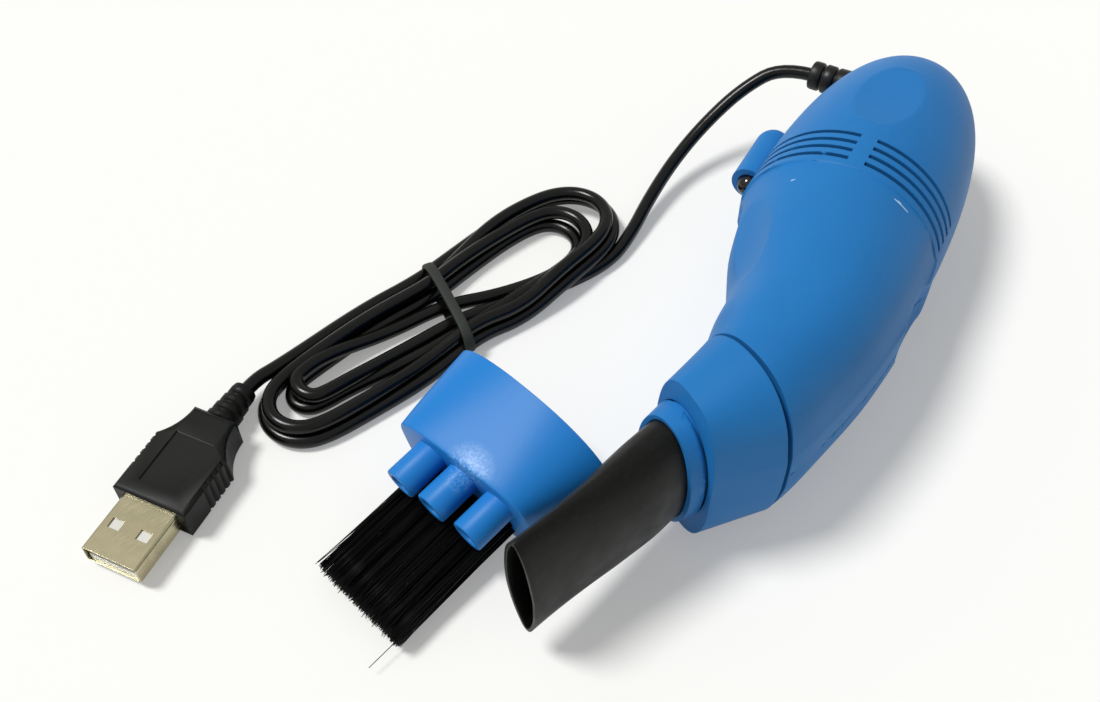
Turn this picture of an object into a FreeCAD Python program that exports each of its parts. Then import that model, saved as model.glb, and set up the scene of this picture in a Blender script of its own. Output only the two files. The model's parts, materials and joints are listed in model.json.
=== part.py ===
"""Desktop mini vacuum cleaner: a cord-fed hand vacuum with two push-on heads.

The vacuum lies on its side, as it does on a desk. X runs along the suction
head, which points to -X, Z is up, and the parting plane of the two housing
shells is level. All sizes are in millimetres. Pieces are modelled in a layout
frame whose origin is on the suction head's axis at the joint with the
housing; the last step moves everything so that the origin is at the bottom
centre of the box around the cleaner and its heads, without its cord.
"""
import FreeCAD
import Part
import math
import os
from FreeCAD import Placement, Rotation, Vector

# ---- housing -------------------------------------------------------------
BODY_RADIUS = 20.6          # round part of the housing, at the vents
WALL = 2.0                  # shell wall
DOME_LENGTH = 55.0          # from the start of the dome to its rear end
DOME_FULLNESS = 2.5         # superellipse power of the dome's profile
ROUND_STEP = 0.2            # the round part stands this proud of the neck
MOTOR_AXIS_TURN = 19.1      # turn of the motor's axis from the head's axis, degrees
MOTOR_AXIS_X = 49.0         # point of the motor's axis where its own X is 0
MOTOR_AXIS_Y = 15.9
PART_HEIGHT = BODY_RADIUS   # the parting plane's height above the table

# Neck sections, front to rear: x, y, turn in degrees, half width, half height, squareness
NECK_FRONT = (0.4, -1.2, 0.0, 12.9, 20.4, 2.3)
NECK_SECTIONS = (
    NECK_FRONT,
    (12.0, -0.9, 5.0, 14.5, 20.5, 2.25),
    (24.0, 2.6, 13.0, 16.5, 20.5, 2.2),
    (33.0, 7.0, 20.0, 18.3, 20.5, 2.1),
    (41.0, 11.3, 23.0, 19.6, 20.4, 2.0),
)
NECK_OVERLAP = 1.0          # length of the neck that lies inside the round part

# ---- vents, finger scoops and thumb dish ---------------------------------
VENT_COUNT = 4
VENT_FIRST = 1.6            # motor-frame place of the front slot
VENT_PITCH = 2.4
VENT_WIDTH = 1.0
VENT_RIB = 3.3              # solid rib left between the two groups of slots
VENT_LOW_ANGLE = 16.5       # angle above the parting plane where a slot ends
VENT_MARGIN = 2.2           # from the front slot to the round part's front edge
SCOOP_RADIUS = 20.0
SCOOP_DEPTH = 1.8
SCOOP_FLANKS = ((1, 17.8), (-1, 21.1))  # side, and the flank's distance from the motor's axis
SCOOP_PLACE = -12.5         # motor-frame place of both scoops' middle
DISH_RADIUS = 8.2
DISH_DEPTH = 1.0
DISH_PLACE = 25.5

# ---- lamp pod ------------------------------------------------------------
POD_RADIUS = 3.9
POD_OFFSET = 21.5           # from the motor's axis to the pod's axis
POD_FRONT = 7.1
POD_END = 23.8
POD_WALL = 0.9
LAMP_RADIUS = 2.4
LAMP_PROUD = 2.6
LAMP_FLANGE = 0.4
LAMP_FLANGE_LENGTH = 1.0
SWITCH_LENGTH = 8.4
SWITCH_DEPTH = 3.4
SWITCH_HEIGHT = 3.8
SWITCH_PLACE = 17.2
KNOB_LENGTH = 3.6
KNOB_HEIGHT = 2.2
KNOB_SUNK = 0.25
KNOB_TRAVEL = 2.0
KNOB_RIBS = 3

# ---- motor and fan -------------------------------------------------------
MOTOR_RADIUS = 10.0
MOTOR_FLATS = 15.4
MOTOR_FRONT = 15.8
MOTOR_LENGTH = 25.0
MOTOR_CAP_LENGTH = 2.2
MOTOR_BOSS_RADIUS = 3.0
MOTOR_BOSS_LENGTH = 1.6
SHAFT_RADIUS = 1.0
SHAFT_PROUD = 12.6          # shaft length in front of the motor's face
BEARING_RADIUS = 2.1
BEARING_LENGTH = 2.0
TERMINAL_WIDTH = 2.4
TERMINAL_THICKNESS = 0.5
TERMINAL_LENGTH = 3.0
TERMINAL_SPREAD = 6.4
CRADLE_PLACES = (24.0, 35.0)
CRADLE_THICKNESS = 1.6
FAN_RADIUS = 15.8
FAN_FRONT = 2.8
FAN_DEPTH = 9.6
FAN_PLATE = 0.9
FAN_HUB_RADIUS = 3.0
FAN_BLADES = 8
FAN_BLADE_THICKNESS = 0.9
FAN_BLADE_ROOT = 4.6
FAN_BLADE_SWEEP = 48.0
BULKHEAD_THICKNESS = 1.4
BULKHEAD_EYE = 8.0
BULKHEAD_SPOKES = 3
BULKHEAD_GAP = 1.5          # running gap between the bulkhead and the fan
LEDGE_DEPTH = 1.6

# ---- spigot, filter and push-on heads ------------------------------------
HEAD_WALL = 1.8
JOINT_GAP = 0.8             # dark line between a head and the housing
SPIGOT_LENGTH = 4.0         # engagement in a head
SPIGOT_SEAT = 6.0           # length held in the housing
SPIGOT_WALL = 1.5
FILTER_THICKNESS = 1.6
SUCTION_LENGTH = 11.2
SUCTION_FRONT_HALF_WIDTH = 8.7
SUCTION_FRONT_HALF_HEIGHT = 18.5
SUCTION_FRONT_SQUARENESS = 2.8
SUCTION_FRONT_SHIFT = 0.4   # the head's front is offset to the lamp's side
NOZZLE_SHIFT = 1.0          # and so is the nozzle's axis
HEAD_SQUARENESS = NECK_FRONT[5]
HEAD_REAR_HALF_WIDTH = NECK_FRONT[3]
HEAD_REAR_HALF_HEIGHT = NECK_FRONT[4]

# ---- collar and soft nozzle tube -----------------------------------------
COLLAR_HALF_WIDTH = 8.1
COLLAR_HALF_HEIGHT = 13.9
COLLAR_LENGTH = 3.2
COLLAR_GAP = 0.5
COLLAR_TAPER = 0.3
COLLAR_NECK_LENGTH = 4.0
COLLAR_NECK_WALL = 0.55
NOZZLE_HALF_WIDTH = 6.6
NOZZLE_HALF_HEIGHT = 12.8
NOZZLE_TIP_HALF_WIDTH = 3.6
NOZZLE_TIP_HALF_HEIGHT = 12.9
NOZZLE_WALL = 0.8
NOZZLE_SQUARENESS = 2.1
NOZZLE_VISIBLE = 33.0
NOZZLE_TIP_ROLL = 6.0       # lean of the flattened tip, degrees

# ---- brush head ----------------------------------------------------------
BRUSH_PLACE = (-21.0, 27.7)  # centre of the rear rim on the table
BRUSH_YAW = 3.0
BRUSH_LENGTH = 17.5
BRUSH_FRONT_HALF_LONG = 15.6
BRUSH_FRONT_HALF_SHORT = 9.8
BRUSH_PLATE = 2.0
BRUSH_TUBE_RADIUS = 3.3
BRUSH_TUBE_WALL = 1.2
BRUSH_TUBE_PITCH = 7.6
BRUSH_TUBE_COUNT = 3
BRUSH_TUBE_LENGTH = 8.2
BRUSH_TUBE_RISE = 3.2       # tubes sit above the head's axis
BRISTLE_ROWS = (3.4, 6.0)   # rows of bristles below the head's axis
BRISTLE_TUFTS = 8           # in each row
BRISTLE_TUFT_RADIUS = 1.15
BRISTLE_PITCH = 2.75
BRISTLE_LENGTH = 30.5
BRISTLE_HOLE = 1.4          # depth of a tuft's blind hole
BRISTLE_DROOP = 3.0         # bristles run a little below level, degrees
BRISTLE_SPLAY = 0.004

# ---- screws --------------------------------------------------------------
SCREW_RADIUS = 1.0
SCREW_LENGTH = 11.0
SCREW_HEAD_RADIUS = 1.9
SCREW_HEAD_HEIGHT = 1.3
SCREW_CLEARANCE = 0.1
SCREW_BOSS_RADIUS = 2.8
SCREW_HEAD_DEPTH = 4.5      # underside of the head below the parting plane
SCREW_NECK_PLACE = (20.0, 1.6)
SCREW_REAR_PLACES = ((28.0, -13.6), (47.6, -4.6))  # motor frame

# ---- cord, boot, tie and plug --------------------------------------------
CORD_RADIUS = 1.5
BOOT_PLACE = 47.2           # motor-frame place of the cord boot
BOOT_RADIUS = 3.7
BOOT_TIP_RADIUS = 2.7
BOOT_NECK_RADIUS = 2.6
BOOT_FLANGE_RADIUS = 3.9
BOOT_FLANGE = 1.4
BOOT_OUTSIDE = 9.6
BOOT_RIBS = 3
BOOT_SEAT_DEPTH = 0.6
CORD_INSIDE = 3.0
CORD_ARC_SHARE = 0.45       # share of a run that an arc may use
CORD_FIT = 0.05
LEAD_STRAIGHT = 6.6         # the cord leaves its boot straight
TAIL_STRAIGHT = 2.6
BOOT_SLEEVE = 2.4
BOOT_GROOVE = 0.9
PLUG_FRONT = (-94.1, 59.1)
PLUG_TURN = -156.5
PLUG_SHELL = (12.3, 12.0, 4.5)   # length, width, height
PLUG_SHELL_WALL = 0.3
PLUG_BODY_LENGTH = 13.5
PLUG_BODY_WIDTH = 16.0
PLUG_BODY_HEIGHT = 8.0
PLUG_SHOULDER = 8.0
PLUG_NECK_WIDTH = 9.6
PLUG_NECK_HEIGHT = 7.2
PLUG_GRIP_RIBS = 5
PLUG_GRIP_LENGTH = 8.0
PLUG_EDGE = 0.8
PLUG_RECESS_WIDTH = 8.6
PLUG_RECESS_DEPTH = 0.4
PLUG_SHELL_SEAT = 4.0
PLUG_SHELL_CORNER = 0.6
PLUG_RELIEF_LENGTH = 9.0
PLUG_RELIEF_RADIUS = 3.4
PLUG_RELIEF_TIP = 2.6
PLUG_RELIEF_RIBS = 4
PLUG_WINDOW = (2.1, 2.5)         # along, across
PLUG_WINDOW_SPREAD = 6.2
PLUG_WINDOW_PLACE = 6.4
TONGUE_HEIGHT = 1.9
TONGUE_WIDTH = 10.4
CONTACT_COUNT = 4
CONTACT_PITCH = 2.3
CONTACT_WIDTH = 1.0
CONTACT_THICKNESS = 0.25
TIE_WIDTH = 2.4
TIE_THICKNESS = 1.1

FIT = 0.1                   # gap between pieces that are held together
LOOSE = 0.3                 # gap between pieces that only lie together
EPS = 0.01

# Route of the cord from the boot to the hank: x, y, height of its middle
LEAD_ROUTE = (
    (75.2, 64.6, 17.4), (64.8, 66.2, 12.0), (53.6, 64.7, 7.4), (42.6, 60.8, 5.2), (31.4, 56.6, 4.6),
)
# Route of the cord from the plug's relief to the hank
TAIL_ROUTE = ((-46.2, 76.6, 4.2),)
# The hank: a flat bundle of turns between two points, with its half width and
# half height at each part of its length
HANK_LINE = ((36.5, 66.2), (-58.0, 66.8))
HANK_SECTIONS = (
    (0.0, 4.5, 3.0), (0.06, 9.0, 3.8), (0.2, 13.4, 4.0), (0.38, 13.2, 3.8), (0.49, 12.1, 3.2),
    (0.7, 11.6, 3.8), (0.88, 10.2, 3.8), (1.0, 4.5, 3.0),
)
HANK_MIDDLE = 4.5           # height of the hank's middle
HANK_SQUARENESS = 2.6
TIE_PLACE = (-10.8, 66.5)
TIE_TURN = -17.0            # the tie lies aslant across the bundle
TIE_HALF_WIDTH = 12.9
TIE_HALF_HEIGHT = 3.3

UP = Vector(0, 0, 1)


# ---- frames --------------------------------------------------------------
def at(x, y, z, turn=0.0):
    """Placement at a layout point, turned about the vertical."""
    return Placement(Vector(x, y, z), Rotation(UP, turn))


MOTOR = at(MOTOR_AXIS_X, MOTOR_AXIS_Y, PART_HEIGHT, MOTOR_AXIS_TURN)


def placed(shape, placement):
    """A copy of the shape, moved from a local frame into the layout."""
    moved = shape.copy()
    moved.transformShape(placement.toMatrix(), True)
    return moved


def mirror_down(shape):
    """The lower twin of a shape made above the parting plane (local z = 0)."""
    return shape.mirror(Vector(), UP)


# ---- basic solids --------------------------------------------------------
def fused(shapes):
    shapes = list(shapes)
    return shapes[0].fuse(shapes[1:]) if len(shapes) > 1 else shapes[0]


def group(shapes):
    return Part.makeCompound(list(shapes))


def block(x0, x1, y0, y1, z0, z1):
    return Part.makeBox(x1 - x0, y1 - y0, z1 - z0, Vector(x0, y0, z0))


def rod_x(radius, x0, x1, y=0.0, z=0.0):
    return Part.makeCylinder(radius, x1 - x0, Vector(x0, y, z), Vector(1, 0, 0))


def rod_y(radius, y0, y1, x=0.0, z=0.0):
    return Part.makeCylinder(radius, y1 - y0, Vector(x, y0, z), Vector(0, 1, 0))


def rod_z(radius, z0, z1, x=0.0, y=0.0):
    return Part.makeCylinder(radius, z1 - z0, Vector(x, y, z0), UP)


def ring_x(outer, inner, x0, x1):
    return rod_x(outer, x0, x1).cut(rod_x(inner, x0 - 1, x1 + 1))


def turned(profile, angle=360.0, axis=Vector(1, 0, 0), start=0.0):
    """Solid of revolution about the local X axis from (x, radius) corners."""
    points = [Vector(x, 0, r) for x, r in profile]
    face = Part.Face(Part.makePolygon(points + points[:1]))
    face.rotate(Vector(), axis, start)
    return face.revolve(Vector(), axis, angle)


# ---- ovals ---------------------------------------------------------------
def oval_point(half_width, half_height, squareness, angle):
    """Point of a superellipse in the local YZ plane."""
    c, s = math.cos(angle), math.sin(angle)
    y = math.copysign(abs(c) ** (2 / squareness), c) * half_width
    z = math.copysign(abs(s) ** (2 / squareness), s) * half_height
    return Vector(0, y, z)


def half_oval_edge(half_width, half_height, squareness, steps=12):
    """The upper half of an oval as one smooth curve, upright at both ends."""
    angles = [math.pi * i / steps for i in range(steps + 1)]
    points = [oval_point(half_width, half_height, squareness, a) for a in angles]
    points[0].z = points[-1].z = 0.0
    curve = Part.BSplineCurve()
    curve.interpolate(Points=points, InitialTangent=UP, FinalTangent=-UP)
    return curve.toShape()


def half_oval(half_width, half_height, squareness):
    """Closed upper half of an oval: the curve and its chord."""
    edge = half_oval_edge(half_width, half_height, squareness)
    chord = Part.makeLine(edge.valueAt(edge.LastParameter), edge.valueAt(edge.FirstParameter))
    return Part.Wire([edge, chord])


def oval(half_width, half_height, squareness):
    """A whole oval from its two halves."""
    upper = half_oval_edge(half_width, half_height, squareness)
    lower = upper.copy()
    lower.rotate(Vector(), Vector(1, 0, 0), 180)
    return Part.Wire([upper, lower])


def oval_loft(sections):
    """Solid through (x, y, half width, half height, squareness) ovals along X."""
    wires = []
    for x, y, half_width, half_height, squareness in sections:
        wire = oval(half_width, half_height, squareness)
        wire.translate(Vector(x, y, 0))
        wires.append(wire)
    return Part.makeLoft(wires, True, False)


def oval_bar(x0, x1, half_width, half_height, squareness):
    """Straight oval bar along X."""
    wire = oval(half_width, half_height, squareness)
    wire.translate(Vector(x0, 0, 0))
    return Part.Face(wire).extrude(Vector(x1 - x0, 0, 0))


# ---- housing form --------------------------------------------------------
def dome_radius(place):
    """Outer radius of the round part at a place on the motor's axis."""
    if place <= 0:
        return BODY_RADIUS
    return BODY_RADIUS * (1 - (place / DOME_LENGTH) ** DOME_FULLNESS) ** (1 / DOME_FULLNESS)


def round_start():
    """Motor-frame place of the round part's front edge."""
    return VENT_FIRST - VENT_MARGIN


def round_part(inset):
    """Upper half of the round part, in the motor frame, inset for the cavity."""
    steps = 9
    angles = [math.pi / 2 * i / steps for i in range(steps + 1)]
    power = 2 / DOME_FULLNESS
    points = [Vector((DOME_LENGTH - inset) * math.sin(a) ** power, 0,
                     (BODY_RADIUS - inset) * math.cos(a) ** power) for a in angles]
    points[-1].z = 0.0
    curve = Part.BSplineCurve()
    curve.interpolate(Points=points, InitialTangent=Vector(1, 0, 0), FinalTangent=-UP)
    start = Vector(round_start(), 0, BODY_RADIUS - inset)
    foot = Vector(round_start(), 0, 0)
    wire = Part.Wire([Part.makeLine(foot, start), Part.makeLine(start, points[0]),
                      curve.toShape(), Part.makeLine(points[-1], foot)])
    face = Part.Face(wire)
    face.rotate(Vector(), Vector(1, 0, 0), -90)
    return placed(face.revolve(Vector(), Vector(1, 0, 0), 180), MOTOR)


def neck_part(inset):
    """Upper half of the neck, from its front face to the round part."""
    wires = []
    for x, y, turn, half_width, half_height, squareness in NECK_SECTIONS:
        wire = half_oval(half_width - inset, half_height - inset, squareness)
        wires.append(placed(wire, at(x, y, PART_HEIGHT, turn)))
    radius = BODY_RADIUS - ROUND_STEP - inset
    wire = half_oval(radius, radius, 2.0)
    wire.translate(Vector(round_start() + NECK_OVERLAP, 0, 0))
    wires.append(placed(wire, MOTOR))
    return Part.makeLoft(wires, True, False)


def pod_half(radius, front, end):
    """Upper half of the lamp pod: a rod with a rounded rear end."""
    rod = rod_x(radius, front, end - radius, POD_OFFSET)
    tail = Part.makeSphere(radius, Vector(end - radius, POD_OFFSET, 0))
    above = block(front - 1, end + 1, POD_OFFSET - 2 * radius, POD_OFFSET + 2 * radius, 0, 2 * radius)
    return placed(rod.fuse(tail).common(above), MOTOR)


def scoop_balls(inset):
    """Balls that sink a finger scoop into each flank."""
    balls = []
    for side, flank in SCOOP_FLANKS:
        centre = side * (flank + SCOOP_RADIUS - SCOOP_DEPTH)
        balls.append(placed(Part.makeSphere(SCOOP_RADIUS + inset, Vector(SCOOP_PLACE, centre, 0)), MOTOR))
    return balls


def outer_half():
    """Upper half of the housing's outer form, solid."""
    form = neck_part(0.0).fuse(round_part(0.0))
    form = form.fuse(pod_half(POD_RADIUS, POD_FRONT, POD_END))
    return form.cut(scoop_balls(0.0))


def wall_middle_half():
    """The same form half way through the wall, where the ribs end."""
    form = neck_part(WALL / 2).fuse(round_part(WALL / 2))
    return form.cut(scoop_balls(WALL / 2))


def inner_half():
    """Upper half of the housing's cavity, solid."""
    form = neck_part(WALL).fuse(round_part(WALL))
    pod = pod_half(POD_RADIUS - POD_WALL, POD_FRONT + POD_WALL, POD_END - POD_WALL)
    return form.fuse(pod).cut(scoop_balls(WALL))


def vent_slots():
    """Cutters for the two groups of slots in the upper shell."""
    rib_angle = math.degrees(math.asin(VENT_RIB / 2 / BODY_RADIUS))
    sweep = 90 - rib_angle - VENT_LOW_ANGLE
    cutters = []
    for i in range(VENT_COUNT):
        x0 = VENT_FIRST + i * VENT_PITCH - VENT_WIDTH / 2
        x1 = x0 + VENT_WIDTH
        outer = BODY_RADIUS + 1
        inner = BODY_RADIUS - WALL - 1
        corners = [(x0, inner), (x1, inner), (x1, outer), (x0, outer)]
        for start in (rib_angle, -rib_angle - sweep):
            cutters.append(placed(turned(corners, sweep, start=start), MOTOR))
    return cutters


def dish_ball():
    """Ball that sinks the thumb dish into the top of the dome."""
    ball = (DISH_RADIUS ** 2 + DISH_DEPTH ** 2) / (2 * DISH_DEPTH)
    surface = dome_radius(DISH_PLACE)
    slope = math.degrees(math.atan((dome_radius(DISH_PLACE - 1) - dome_radius(DISH_PLACE + 1)) / 2))
    lean = Rotation(Vector(0, 1, 0), slope)
    centre = Vector(DISH_PLACE, 0, surface) + lean.multVec(Vector(0, 0, ball - DISH_DEPTH))
    return placed(Part.makeSphere(ball, centre), MOTOR)


# ---- what the shells hold inside -----------------------------------------
def boot_boss():
    """Thickening of the dome's wall where the cord boot is held."""
    low = dome_radius(BOOT_PLACE) - WALL - BOOT_FLANGE - 2.2
    return placed(rod_y(BOOT_FLANGE_RADIUS + 1.4, low, BODY_RADIUS, BOOT_PLACE), MOTOR)


def boot_wall_face():
    """Distance from the motor's axis to the boot's flat seat."""
    return dome_radius(BOOT_PLACE) - BOOT_SEAT_DEPTH


def boot_cutters():
    """Seat, hole and flange pocket of the boot, cut from both shells."""
    face = boot_wall_face()
    inner = face - WALL
    seat = rod_y(BOOT_RADIUS + FIT, face, BODY_RADIUS, BOOT_PLACE)
    hole = rod_y(BOOT_NECK_RADIUS + FIT, inner - 10, face + 1, BOOT_PLACE)
    pocket = rod_y(BOOT_FLANGE_RADIUS + FIT, inner - BOOT_FLANGE - 2 * FIT, inner, BOOT_PLACE)
    clear = rod_y(BOOT_FLANGE_RADIUS + FIT, inner - 10, inner - BOOT_FLANGE, BOOT_PLACE)
    return placed(fused([seat, hole, pocket, clear]), MOTOR)


def motor_cradles():
    """Half rings in the shell that hold the motor's can."""
    rings = []
    for place in CRADLE_PLACES:
        ring = ring_x(BODY_RADIUS, MOTOR_RADIUS + FIT, place, place + CRADLE_THICKNESS)
        rings.append(placed(ring, MOTOR))
    return rings


def bulkhead_ledge():
    """Inner ledge that the bulkhead rests against."""
    front = FAN_FRONT - BULKHEAD_GAP - BULKHEAD_THICKNESS - LEDGE_DEPTH
    ring = ring_x(BODY_RADIUS, BODY_RADIUS - WALL - LEDGE_DEPTH, front, front + LEDGE_DEPTH)
    return placed(ring, MOTOR)


def screw_places():
    """Layout points of the housing screws."""
    neck = [Vector(*SCREW_NECK_PLACE, 0)]
    rear = [MOTOR.Rotation.multVec(Vector(x, y, 0)) + Vector(MOTOR_AXIS_X, MOTOR_AXIS_Y, 0)
            for x, y in SCREW_REAR_PLACES]
    return neck + rear


def screw_bosses():
    return [rod_z(SCREW_BOSS_RADIUS, PART_HEIGHT, 3 * PART_HEIGHT, p.x, p.y) for p in screw_places()]


def half_solid(extra_cutters):
    """Upper half shell with everything both shells share."""
    outer = outer_half()
    inner = inner_half()
    shell = outer.cut(inner)
    ribs = fused(motor_cradles() + [bulkhead_ledge(), boot_boss()] + screw_bosses())
    shell = shell.fuse(ribs.common(wall_middle_half()))
    cutters = vent_slots() + [dish_ball(), boot_cutters(), spigot_seat(), lamp_hole(), switch_pocket(),
                              knob_window()]
    return shell.cut(fused(cutters)).cut(fused(extra_cutters)).removeSplitter()


def spigot_seat():
    """Straight oval seat for the filter frame in the housing's mouth."""
    return placed(oval_bar(-1, SPIGOT_SEAT + FIT, *joint_oval(WALL)), joint_place())


def lamp_hole():
    """Hole in the pod's face, and the groove that the lamp's nose lies in."""
    front = POD_FRONT - LAMP_PROUD - LOOSE
    return placed(rod_x(LAMP_RADIUS + FIT, front, POD_FRONT + POD_WALL + 1, POD_OFFSET), MOTOR)


def switch_pocket():
    """Pocket that holds the switch, open to the cavity."""
    x0, x1, y0, y1 = switch_box()
    half = SWITCH_HEIGHT / 2 + FIT
    return placed(block(x0 - FIT, x1 + FIT, y0 - SWITCH_DEPTH, y1 + FIT, -half, half), MOTOR)


def knob_window():
    """Window in the pod's flank for the switch knob and its travel."""
    half = KNOB_LENGTH / 2 + LOOSE
    window = block(SWITCH_PLACE - half, SWITCH_PLACE + half + KNOB_TRAVEL, POD_OFFSET + 1, POD_OFFSET + 6,
                   -KNOB_HEIGHT / 2 - LOOSE, KNOB_HEIGHT / 2 + LOOSE)
    return placed(window, MOTOR)


def upper_shell():
    pilots = []
    for p in screw_places():
        depth = SCREW_LENGTH - SCREW_HEAD_DEPTH + 1
        pilots.append(rod_z(SCREW_RADIUS + FIT / 2, PART_HEIGHT - 1, PART_HEIGHT + depth, p.x, p.y))
    return half_solid(pilots)


def lower_shell():
    holes = []
    for p in screw_places():
        holes.append(rod_z(SCREW_RADIUS + FIT, PART_HEIGHT - 1, 3 * PART_HEIGHT, p.x, p.y))
        holes.append(rod_z(SCREW_HEAD_RADIUS + FIT, PART_HEIGHT + SCREW_HEAD_DEPTH, 3 * PART_HEIGHT, p.x, p.y))
    shell = half_solid(holes)
    return shell.mirror(Vector(0, 0, PART_HEIGHT), UP)


def shell_screws():
    """Pan-head self-tapping screws with a crossed recess, heads down."""
    screws = []
    for p in screw_places():
        seat = PART_HEIGHT - SCREW_HEAD_DEPTH
        shank = rod_z(SCREW_RADIUS, seat, seat + SCREW_LENGTH, p.x, p.y)
        head = rod_z(SCREW_HEAD_RADIUS, seat - SCREW_HEAD_HEIGHT, seat, p.x, p.y)
        arm = SCREW_HEAD_RADIUS * 0.6
        bottom = seat - SCREW_HEAD_HEIGHT
        cross = fused([block(p.x - arm, p.x + arm, p.y - 0.25, p.y + 0.25, bottom - 1, bottom + 0.7),
                       block(p.x - 0.25, p.x + 0.25, p.y - arm, p.y + arm, bottom - 1, bottom + 0.7)])
        screws.append(shank.fuse(head).cut(cross))
    return group(screws)


# ---- fan and motor -------------------------------------------------------
def fan_bulkhead():
    """Plate with a spoked eye between the dust chamber and the fan."""
    back = FAN_FRONT - BULKHEAD_GAP
    front = back - BULKHEAD_THICKNESS
    plate = ring_x(BODY_RADIUS - ROUND_STEP - WALL - FIT, BULKHEAD_EYE, front, back)
    hub = rod_x(2.0, front, back)
    spokes = []
    for i in range(BULKHEAD_SPOKES):
        spoke = block(front, back, 0, BULKHEAD_EYE + 1, -0.7, 0.7)
        spoke.rotate(Vector(), Vector(1, 0, 0), 360 * i / BULKHEAD_SPOKES)
        spokes.append(spoke)
    return placed(plate.fuse([hub] + spokes), MOTOR).cut(scoop_balls(WALL + FIT))


def fan_blade():
    """One backward-swept blade: an arc of constant thickness."""
    sweep = math.radians(FAN_BLADE_SWEEP)
    root = Vector(0, FAN_BLADE_ROOT, 0)
    tip_radius = FAN_RADIUS - 0.4
    middle_radius = (FAN_BLADE_ROOT + tip_radius) / 2
    middle = Vector(0, middle_radius * math.cos(sweep * 0.36), middle_radius * math.sin(sweep * 0.36))
    tip = Vector(0, tip_radius * math.cos(sweep), tip_radius * math.sin(sweep))
    spine = Part.Arc(root, middle, tip).toShape()
    face = spine.extrude(Vector(FAN_DEPTH - FAN_PLATE + 0.2, 0, 0))
    face.translate(Vector(FAN_FRONT, 0, 0))
    return face.makeOffsetShape(FAN_BLADE_THICKNESS, 0.01, fill=True)


def impeller():
    """Radial fan: hub, back plate and swept blades, open to the front."""
    back = FAN_FRONT + FAN_DEPTH
    hub = rod_x(FAN_HUB_RADIUS, FAN_FRONT, back)
    plate = rod_x(FAN_RADIUS, back - FAN_PLATE, back)
    blades = []
    for i in range(FAN_BLADES):
        blade = fan_blade()
        blade.rotate(Vector(), Vector(1, 0, 0), 360 * i / FAN_BLADES)
        blades.append(blade)
    wheel = hub.fuse([plate] + blades)
    return placed(wheel.cut(rod_x(SHAFT_RADIUS, FAN_FRONT - 1, back + 1)).removeSplitter(), MOTOR)


def motor_can():
    """Can motor body: a flat-sided cup with a front boss."""
    end = MOTOR_FRONT + MOTOR_LENGTH - MOTOR_CAP_LENGTH
    flats = block(MOTOR_FRONT, end, -MOTOR_RADIUS, MOTOR_RADIUS, -MOTOR_FLATS / 2, MOTOR_FLATS / 2)
    can = rod_x(MOTOR_RADIUS, MOTOR_FRONT, end).common(flats)
    boss = rod_x(MOTOR_BOSS_RADIUS, MOTOR_FRONT - MOTOR_BOSS_LENGTH, MOTOR_FRONT)
    seat = rod_x(BEARING_RADIUS, MOTOR_FRONT - MOTOR_BOSS_LENGTH - 1, MOTOR_FRONT + BEARING_LENGTH)
    tunnel = rod_x(SHAFT_RADIUS + 1.2, MOTOR_FRONT, end + 1)
    return placed(can.fuse(boss).cut(seat.fuse(tunnel)).removeSplitter(), MOTOR)


def motor_end_cap():
    """Plastic end cap that carries the rear bearing and the terminals."""
    start = MOTOR_FRONT + MOTOR_LENGTH - MOTOR_CAP_LENGTH
    end = MOTOR_FRONT + MOTOR_LENGTH
    flats = block(start, end, -MOTOR_RADIUS, MOTOR_RADIUS, -MOTOR_FLATS / 2, MOTOR_FLATS / 2)
    cap = rod_x(MOTOR_RADIUS, start, end).common(flats)
    boss = rod_x(MOTOR_BOSS_RADIUS, end, end + MOTOR_BOSS_LENGTH)
    bore = rod_x(BEARING_RADIUS, start - 1, end + MOTOR_BOSS_LENGTH + 1)
    slots = [terminal_bar(side, FIT / 2) for side in (-1, 1)]
    return placed(cap.fuse(boss).cut(fused([bore] + slots)), MOTOR)


def terminal_bar(side, gap):
    end = MOTOR_FRONT + MOTOR_LENGTH
    y = side * TERMINAL_SPREAD
    return block(end - MOTOR_CAP_LENGTH * 0.6 - gap, end + TERMINAL_LENGTH, y - TERMINAL_THICKNESS / 2 - gap,
                 y + TERMINAL_THICKNESS / 2 + gap, -TERMINAL_WIDTH / 2 - gap, TERMINAL_WIDTH / 2 + gap)


def motor_terminals():
    """Two solder tabs with an eye for the leads."""
    tabs = []
    for side in (-1, 1):
        tab = terminal_bar(side, 0.0)
        eye = rod_y(0.6, -BODY_RADIUS, BODY_RADIUS, MOTOR_FRONT + MOTOR_LENGTH + TERMINAL_LENGTH - 1.2)
        tabs.append(placed(tab.cut(eye), MOTOR))
    return group(tabs)


def motor_bearings():
    """Front and rear sleeve bearings."""
    clear = SHAFT_RADIUS + 0.04
    front = ring_x(BEARING_RADIUS, clear, MOTOR_FRONT - MOTOR_BOSS_LENGTH, MOTOR_FRONT + BEARING_LENGTH)
    end = MOTOR_FRONT + MOTOR_LENGTH
    rear = ring_x(BEARING_RADIUS, clear, end - MOTOR_CAP_LENGTH, end + MOTOR_BOSS_LENGTH - 0.4)
    return group([placed(front, MOTOR), placed(rear, MOTOR)])


def motor_shaft():
    shaft = rod_x(SHAFT_RADIUS, MOTOR_FRONT - SHAFT_PROUD, MOTOR_FRONT + MOTOR_LENGTH + MOTOR_BOSS_LENGTH)
    return placed(shaft, MOTOR)


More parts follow.
